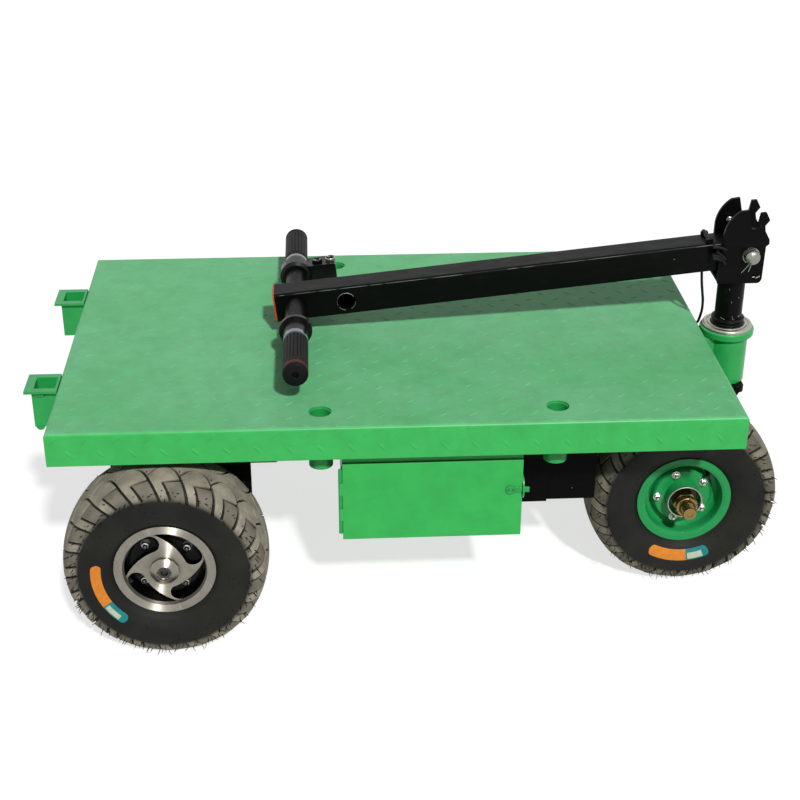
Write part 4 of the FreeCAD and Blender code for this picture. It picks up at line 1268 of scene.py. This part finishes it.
def machinedAlloy(name, bright, paintedWellShade):
    # cast wheel: faces turned bright in fine rings, which fan the light out along a radius, and a near-black
    # painted shade in the wells and on the inner walls
    wheel = middle("rim_rear_right")
    material, tree, shader, place = newMaterial(name, {"Metallic": 1.0, "Anisotropic": 1.0})
    normal = addNode(tree, "SeparateXYZ", links={0: addNode(tree, "TexCoord").outputs["Normal"]})
    facing = addNode(tree, "Math", {"operation": "ABSOLUTE"}, {0: normal.outputs["Y"]})
    flat = addNode(tree, "MapRange", {"From Min": 0.3, "From Max": 0.7}, {"Value": facing.outputs[0]})
    spot = addNode(tree, "SeparateXYZ", links={0: place})
    far = addNode(tree, "Math", {"operation": "ABSOLUTE"}, {0: spot.outputs["Y"]})
    start = abs(wheel.y) + 44 * mm
    outer = addNode(tree, "MapRange", {"From Min": start, "From Max": start + 3 * mm},
                    {"Value": far.outputs[0]})
    turned = addNode(tree, "Math", {"operation": "MULTIPLY"}, {0: flat.outputs[0], 1: outer.outputs[0]})
    arm = addNode(tree, "VectorMath", {"operation": "SUBTRACT", 1: wheel}, {0: place})
    world = addNode(tree, "VectorTransform", {"convert_from": "OBJECT", "convert_to": "WORLD"},
                    {"Vector": arm.outputs[0]})
    tree.links.new(world.outputs[0], shader.inputs["Tangent"])
    patch = addNode(tree, "TexNoise", {"Scale": perMm(22), "Detail": 4.0}, {"Vector": place})
    tone = addNode(tree, "ValToRGB", {"stops": [(0.35, 0.84), (0.6, 1.0)]}, {"Fac": patch.outputs["Fac"]})
    metal = addNode(tree, "MixRGB", {"blend_type": "MULTIPLY", "Fac": 1.0, "Color1": bright},
                    {"Color2": tone.outputs[0]})
    # painted shade: everything except the outer turned faces goes near black
    base = addNode(tree, "MixRGB", {"Color1": paintedWellShade},
                   {"Fac": turned.outputs[0], "Color2": metal.outputs[0]})
    tree.links.new(base.outputs[0], shader.inputs["Base Color"])
    gloss = addNode(tree, "MapRange", {"To Min": 0.75, "To Max": 0.52}, {"Value": turned.outputs[0]})
    tree.links.new(gloss.outputs[0], shader.inputs["Roughness"])
    edge = addNode(tree, "Bevel", {"samples": 4, "Radius": 1.4 * mm})
    # tool rings are near 0.2 mm apart, and the grain that breaks them is drawn at 1.6 mm so that it shows
    grain = addNode(tree, "TexNoise", {"Scale": perMm(1.6), "Detail": 3.0}, {"Vector": place})
    skin = addNode(tree, "Bump", {"Strength": 1.0, "Distance": 0.02 * mm},
                   {"Height": grain.outputs["Fac"], "Normal": edge.outputs[0]})
    tree.links.new(skin.outputs[0], shader.inputs["Normal"])
    return material


def turnedSteel(name, colour, rough, spread):
    # turned, ground or plated steel: smooth, with tool lines that break its highlight into soft bands
    material, tree, shader, place = newMaterial(name, {"Metallic": 1.0, "Base Color": toLinear(colour)})
    stretched = addNode(tree, "Mapping", {"Scale": (1.0, 1.0, 7.0)}, {"Vector": place})
    lines = addNode(tree, "TexNoise", {"Scale": perMm(5), "Detail": 3.0}, {"Vector": stretched.outputs[0]})
    gloss = addNode(tree, "MapRange",
                    {"From Min": 0.35, "From Max": 0.65, "To Min": rough, "To Max": rough + spread},
                    {"Value": lines.outputs["Fac"]})
    tree.links.new(gloss.outputs[0], shader.inputs["Roughness"])
    skin = addNode(tree, "Bump", {"Strength": 1.0, "Distance": 0.012 * mm}, {"Height": lines.outputs["Fac"]})
    tree.links.new(skin.outputs[0], shader.inputs["Normal"])
    return material


def moulded(name, colour, dusty, rough, sheen):
    # rubber or plastic out of a spark-eroded mould: fine matt grain with dust caught in it
    material, tree, shader, place = newMaterial(name, {"IOR": 1.5, "Specular IOR Level": sheen})
    cover = addNode(tree, "TexNoise", {"Scale": perMm(20), "Detail": 6.0, "Roughness": 0.62},
                    {"Vector": place})
    dust = addNode(tree, "ValToRGB", {"stops": [(0.5, 0.0), (0.78, 0.55)]}, {"Fac": cover.outputs["Fac"]})
    base = addNode(tree, "MixRGB", {"Color1": colour, "Color2": dusty}, {"Fac": dust.outputs[0]})
    tree.links.new(base.outputs[0], shader.inputs["Base Color"])
    gloss = addNode(tree, "MapRange", {"To Max": rough + 0.2, "To Min": rough}, {"Value": dust.outputs[0]})
    tree.links.new(gloss.outputs[0], shader.inputs["Roughness"])
    # moulded grain is near 0.2 mm, drawn at 1 mm so that it shows
    grain = addNode(tree, "TexNoise", {"Scale": perMm(1), "Detail": 2.0}, {"Vector": place})
    skin = addNode(tree, "Bump", {"Strength": 1.0, "Distance": 0.03 * mm}, {"Height": grain.outputs["Fac"]})
    tree.links.new(skin.outputs[0], shader.inputs["Normal"])
    return material


def curedTyreRubber(name, treadColour, greyColour):
    # cured rubber: near-black matt walls, and block tops gone grey-beige with ground-in dust
    material, tree, shader, place = newMaterial(name, {"IOR": 1.52, "Specular IOR Level": 0.15})
    rolled = addNode(tree, "Attribute", {"attribute_name": "dust"})
    patch = addNode(tree, "TexNoise", {"Scale": perMm(30), "Detail": 7.0, "Roughness": 0.62},
                    {"Vector": place})
    cover = addNode(tree, "ValToRGB", {"stops": [(0.3, 0.5), (0.66, 1.0)]}, {"Fac": patch.outputs["Fac"]})
    worn = addNode(tree, "Math", {"operation": "MULTIPLY"}, {0: rolled.outputs["Fac"], 1: cover.outputs[0]})
    wide = addNode(tree, "TexNoise", {"Scale": perMm(90), "Detail": 4.0}, {"Vector": place})
    film = addNode(tree, "ValToRGB", {"stops": [(0.42, "#131412"), (0.7, greyColour)]},
                   {"Fac": wide.outputs["Fac"]})
    base = addNode(tree, "MixRGB", {"Color2": treadColour},
                   {"Fac": worn.outputs[0], "Color1": film.outputs[0]})
    tree.links.new(base.outputs[0], shader.inputs["Base Color"])
    gloss = addNode(tree, "MapRange", {"To Min": 0.6, "To Max": 0.85}, {"Value": worn.outputs[0]})
    tree.links.new(gloss.outputs[0], shader.inputs["Roughness"])
    grain = addNode(tree, "TexNoise", {"Scale": perMm(2), "Detail": 5.0, "Roughness": 0.6}, {"Vector": place})
    skin = addNode(tree, "Bump", {"Strength": 1.0, "Distance": 0.09 * mm}, {"Height": grain.outputs["Fac"]})
    tree.links.new(skin.outputs[0], shader.inputs["Normal"])
    return material


def printedVinyl(name, colour):
    # label film: flat ink under a clear layer, so it is smoother than the rubber round it
    material, tree, shader, place = newMaterial(name,
                                                {"IOR": 1.46, "Roughness": 0.34, "Specular IOR Level": 0.3})
    ink = addNode(tree, "TexNoise", {"Scale": perMm(9), "Detail": 3.0}, {"Vector": place})
    shade = addNode(tree, "ValToRGB", {"stops": [(0.3, 0.84), (0.66, 1.0)]}, {"Fac": ink.outputs["Fac"]})
    base = addNode(tree, "MixRGB", {"blend_type": "MULTIPLY", "Fac": 1.0, "Color1": colour},
                   {"Color2": shade.outputs[0]})
    tree.links.new(base.outputs[0], shader.inputs["Base Color"])
    return material


finish = {
    "deck": sprayedEnamel("sprayedEnamelDeck", "#31ad50", "#76c18e", 0.9, 0.34),
    "door": sprayedEnamel("sprayedEnamelDoorPaintedShade", "#31ad50", "#0d5a22", 0.9, 0.34),  # painted shade: upward faces of the box and door turn dark green
    "green": sprayedEnamel("sprayedEnamelFrame", "#1f9a48", "#58b27a", 0.75, 0.3),
    "rimGreen": sprayedEnamel("sprayedEnamelRim", "#128a45", "#38a466", 0.5, 0.24),
    "black": powderCoat("powderCoatBlack", "#050605", "#131412", 0.28, 0.07),
    "dull": powderCoat("powderCoatUnderFrame", "#050504", "#0f0e0d", 0.6, 0.06),
    "caseGrey": powderCoat("powderCoatCase", "#030303", "#0b0b0a", 0.5, 0.05),
    "red": sprayedEnamel("sprayedEnamelEndCap", "#b8401c", "#b8401c", 0.1, 0.4),
    # the rear rims' wells and inner walls carry a painted shade
    "rim": machinedAlloy("machinedCastAluminium", "#b3ada1", "#0d0c0b"),
    "iron": castMetal("sandCastIron", "#0e0d0c", "#070606", 0.0, 0.6, 2.4, 0.1),
    "zinc": turnedSteel("zincPlatedSteel", "#b4b4ae", 0.24, 0.14),
    "polish": turnedSteel("polishedAluminiumBoss", "#8a867b", 0.18, 0.14),
    "race": turnedSteel("groundSteelRace", "#a9a89c", 0.28, 0.14),
    "brown": turnedSteel("passivatedSteelNut", "#8f7648", 0.2, 0.14),
    "dome": turnedSteel("wornSteelDome", "#8f8e88", 0.2, 0.22),
    "chamfer": turnedSteel("polishedSteelCollar", "#7d878a", 0.14, 0.1),
    "sleeve": turnedSteel("blackenedSteelTube", "#4a5254", 0.16, 0.1),
    "screw": turnedSteel("phosphatedScrewSteel", "#4a4a48", 0.36, 0.14),
    "tyre": curedTyreRubber("curedTyreRubber", "#a39b8b", "#20201a"),
    "tyreDark": curedTyreRubber("curedTyreRubberShaded", "#8a8473", "#20201a"),
    "hair": moulded("flashRubberHair", "#0b0b0a", "#1a1916", 0.6, 0.2),
    "grip": moulded("mouldedGripRubber", "#0b0b0b", "#221e1a", 0.5, 0.1),
    "plastic": moulded("mouldedNylonBlack", "#070808", "#1c1d1c", 0.3, 0.22),
    "gripRing": moulded("mouldedRubberRing", "#43140c", "#43180f", 0.5, 0.2),
    "jacket": moulded("extrudedPvcJacket", "#090909", "#20201e", 0.4, 0.3),
    "mark": moulded("paintFilledMark", "#d6d6d0", "#b6b6b0", 0.5, 0.5),
    "edge": turnedSteel("bareSteelEdge", "#8a8c8a", 0.3, 0.12),
    "orange": printedVinyl("printedVinylOrange", "#cf7c26"),
    "teal": printedVinyl("printedVinylTeal", "#13797a"),
    "panel": printedVinyl("printedVinylPanel", "#b3bba3"),
}

wear = {  # what each carried-over piece is made of
    "deck": ("deck_plate",),
    # the door finish paints shade on the upward faces of these two pieces
    "door": ("battery_door", "battery_box"),
    "green": ("stake_tubes", "frame_rails", "cross_members", "rear_socket_right", "rear_socket_left",
              "door_hinge", "hasp_plate", "hasp_staple", "head_tube"),
    "rimGreen": ("rim_front_right", "rim_front_left", "hub_front_right", "hub_front_left"),
    "black": ("steering_yoke", "bracket_plate_right", "bracket_plate_left", "bracket_base", "tiller_arm",
              "handle_bar", "bar_sockets", "lock_pin", "lock_hook", "steering_column"),
    "dull": ("axle_hangers", "rear_axle_housing", "battery_block"),
    "caseGrey": ("controller_case",),
    "red": ("arm_end_cap",),
    "rim": ("rim_rear_right", "rim_rear_left"),
    "iron": ("hub_rear_right", "hub_rear_left", "gear_case", "drive_motor"),
    "zinc": ("pivot_pin",),
    "screw": ("front_axle",),
    "race": ("head_bearing",),
    "plastic": ("grip_collar", "throttle_housing", "switch_block", "switch_buttons", "arm_grommet",
                "skirt_grommet"),
    "jacket": ("cable_upper", "cable_lower"),
    "grip": ("grip_right", "grip_left"),
    "tyre": ("tyre_rear_right", "tyre_rear_left", "tyre_front_right", "tyre_front_left"),
}


def dressNodes():
    missed = set(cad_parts)
    for key, names in wear.items():
        for name in names:
            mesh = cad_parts[name].data
            mesh.materials.clear()
            mesh.materials.append(finish[key])
            missed.discard(name)
    if missed:
        raise SystemExit("no material for " + ", ".join(sorted(missed)))


# stage and light

stage = {
    "floorSize": 40.0,
    "floor": "#dcdcda",  # as other surfaces see it
    "floorSeen": "#a8a8a8",
    "lift": 0.7,  # brings the lit floor up to white for the eye, its shadow stays
    "key": (-0.27, 1.12, -1.0),  # the way the light travels
    "keyStrength": 3.25,
    "keySpread": 3.0,  # degrees
    "fill": 0.15,
}


def seenDirectly(tree):
    # 1 where the eye looks, also in a mirror or through glass, and 0 where light is only gathered
    rays = addNode(tree, "LightPath")
    seen = addNode(tree, "Math", {"operation": "MAXIMUM"},
                   {0: rays.outputs["Is Camera Ray"], 1: rays.outputs["Is Glossy Ray"]})
    seen = addNode(tree, "Math", {"operation": "MAXIMUM"},
                   {0: seen.outputs[0], 1: rays.outputs["Is Transmission Ray"]})
    return seen.outputs[0]


def makeStage():
    # rolled floor paint: even and matt, so that only the shadow shows
    material, tree, shader, place = newMaterial("rolledFloorPaint", {"Emission Color": (1, 1, 1, 1)})
    seen = seenDirectly(tree)
    colour = addNode(tree, "MixRGB", {"Color1": stage["floor"], "Color2": stage["floorSeen"]}, {"Fac": seen})
    tree.links.new(colour.outputs[0], shader.inputs["Base Color"])
    lift = addNode(tree, "Math", {"operation": "MULTIPLY", 1: stage["lift"]}, {0: seen})
    tree.links.new(lift.outputs[0], shader.inputs["Emission Strength"])
    nap = addNode(tree, "TexNoise", {"Scale": perMm(900), "Detail": 2.0}, {"Vector": place})
    gloss = addNode(tree, "MapRange", {"To Min": 0.9, "To Max": 1.0}, {"Value": nap.outputs["Fac"]})
    tree.links.new(gloss.outputs[0], shader.inputs["Roughness"])
    half = stage["floorSize"] / 2
    mesh = bpy.data.meshes.new("floor")
    corners = [(-half, -half, 0), (half, -half, 0), (half, half, 0), (-half, half, 0)]
    mesh.from_pydata(corners, [], [(0, 1, 2, 3)])
    mesh.materials.append(material)
    floor = bpy.data.objects.new("floor", mesh)
    bpy.context.scene.collection.objects.link(floor)
    world = bpy.data.worlds.new("paleRoom")
    bpy.context.scene.world = world
    world.use_nodes = True
    tree = world.node_tree
    tree.nodes.clear()
    fill = addNode(tree, "Background", {"Color": (1, 1, 1, 1), "Strength": stage["fill"]})
    white = addNode(tree, "Background", {"Color": (1, 1, 1, 1), "Strength": 1.0})
    seen = seenDirectly(tree)
    choice = addNode(tree, "MixShader", links={0: seen, 1: fill.outputs[0], 2: white.outputs[0]})
    addNode(tree, "OutputWorld", links={"Surface": choice.outputs[0]})
    lamp = bpy.data.lights.new("key", "SUN")
    lamp.energy = stage["keyStrength"]
    lamp.angle = math.radians(stage["keySpread"])
    key = bpy.data.objects.new("key", lamp)
    key.rotation_euler = Vector(stage["key"]).to_track_quat("-Z", "Y").to_euler()
    bpy.context.scene.collection.objects.link(key)


# build order

makeCamera()
makeCable()
print("camera and cable")
dressNodes()

section, edgeAt = tyreSection()
cell, tris = treadCell(section[edgeAt][0])
print("tread cell of", len(tris), "triangles")
wheelNumber = 0
for end, rubber, flow in (("rear", "tyre", 1), ("front", "tyreDark", -1)):
    for side, outward in (("right", -axisY), ("left", axisY)):
        wheelNumber += 1
        tyre = "tyre_%s_%s" % (end, side)
        body = "wheel_%s_%s" % (end, side)
        label = end.title() + side.title()
        centre = middle(tyre) / mm
        parts, dust = tyreParts(centre, outward, flow, rubber, stickers[end], cell, tris, section, edgeAt,
                                wheelNumber)
        labels = stickerParts(centre, outward, stickers[end], section)
        dust += [0.0] * sum(len(p) for p, _, _ in labels)
        build("tyre" + label, parts + labels, body, [tyre], sharp=38, weld=0.002,
              values={"dust": dust})
        stem = valveParts(centre, outward, end)
        if end == "rear":
            build("rimFittings" + label, rearWheelParts(centre, outward) + stem, body)
        else:
            build("rimFittings" + label, frontWheelParts(centre, outward) + stem, body)
            build("axleNut" + label, axleNutParts(centre, outward), "steering")
print("wheels")

build("deckMarks", deckMarks(), "chassis", sharp=60)
build("haspDetails", haspParts(), "door")
print("checker marks and hasp")

build("bearingRace", bearingParts(), "chassis")
build("columnSeals", columnParts(), "steering")
build("socketTabs", socketParts(), "chassis")
print("column and socket")

build("gripRight", gripParts(-1, *grip["right"], True), "tiller", ["grip_right"])
build("gripLeft", gripParts(1, *grip["left"], False), "tiller", ["grip_left"])
sleeves = sleeveParts(-1, *sleeve["right"]) + sleeveParts(1, *sleeve["left"])
build("sleeves", sleeves, "tiller")
build("armEdgeWearAndHighlight", armEdgeWearAndHighlight(), "tiller")
build("switches", switchParts() + clampParts(), "tiller")
build("pivotFittings", pivotParts(), "steering")
print("handle and pivot")

makeStage()
bpy.context.scene.view_settings.view_transform = "Standard"
print("done")
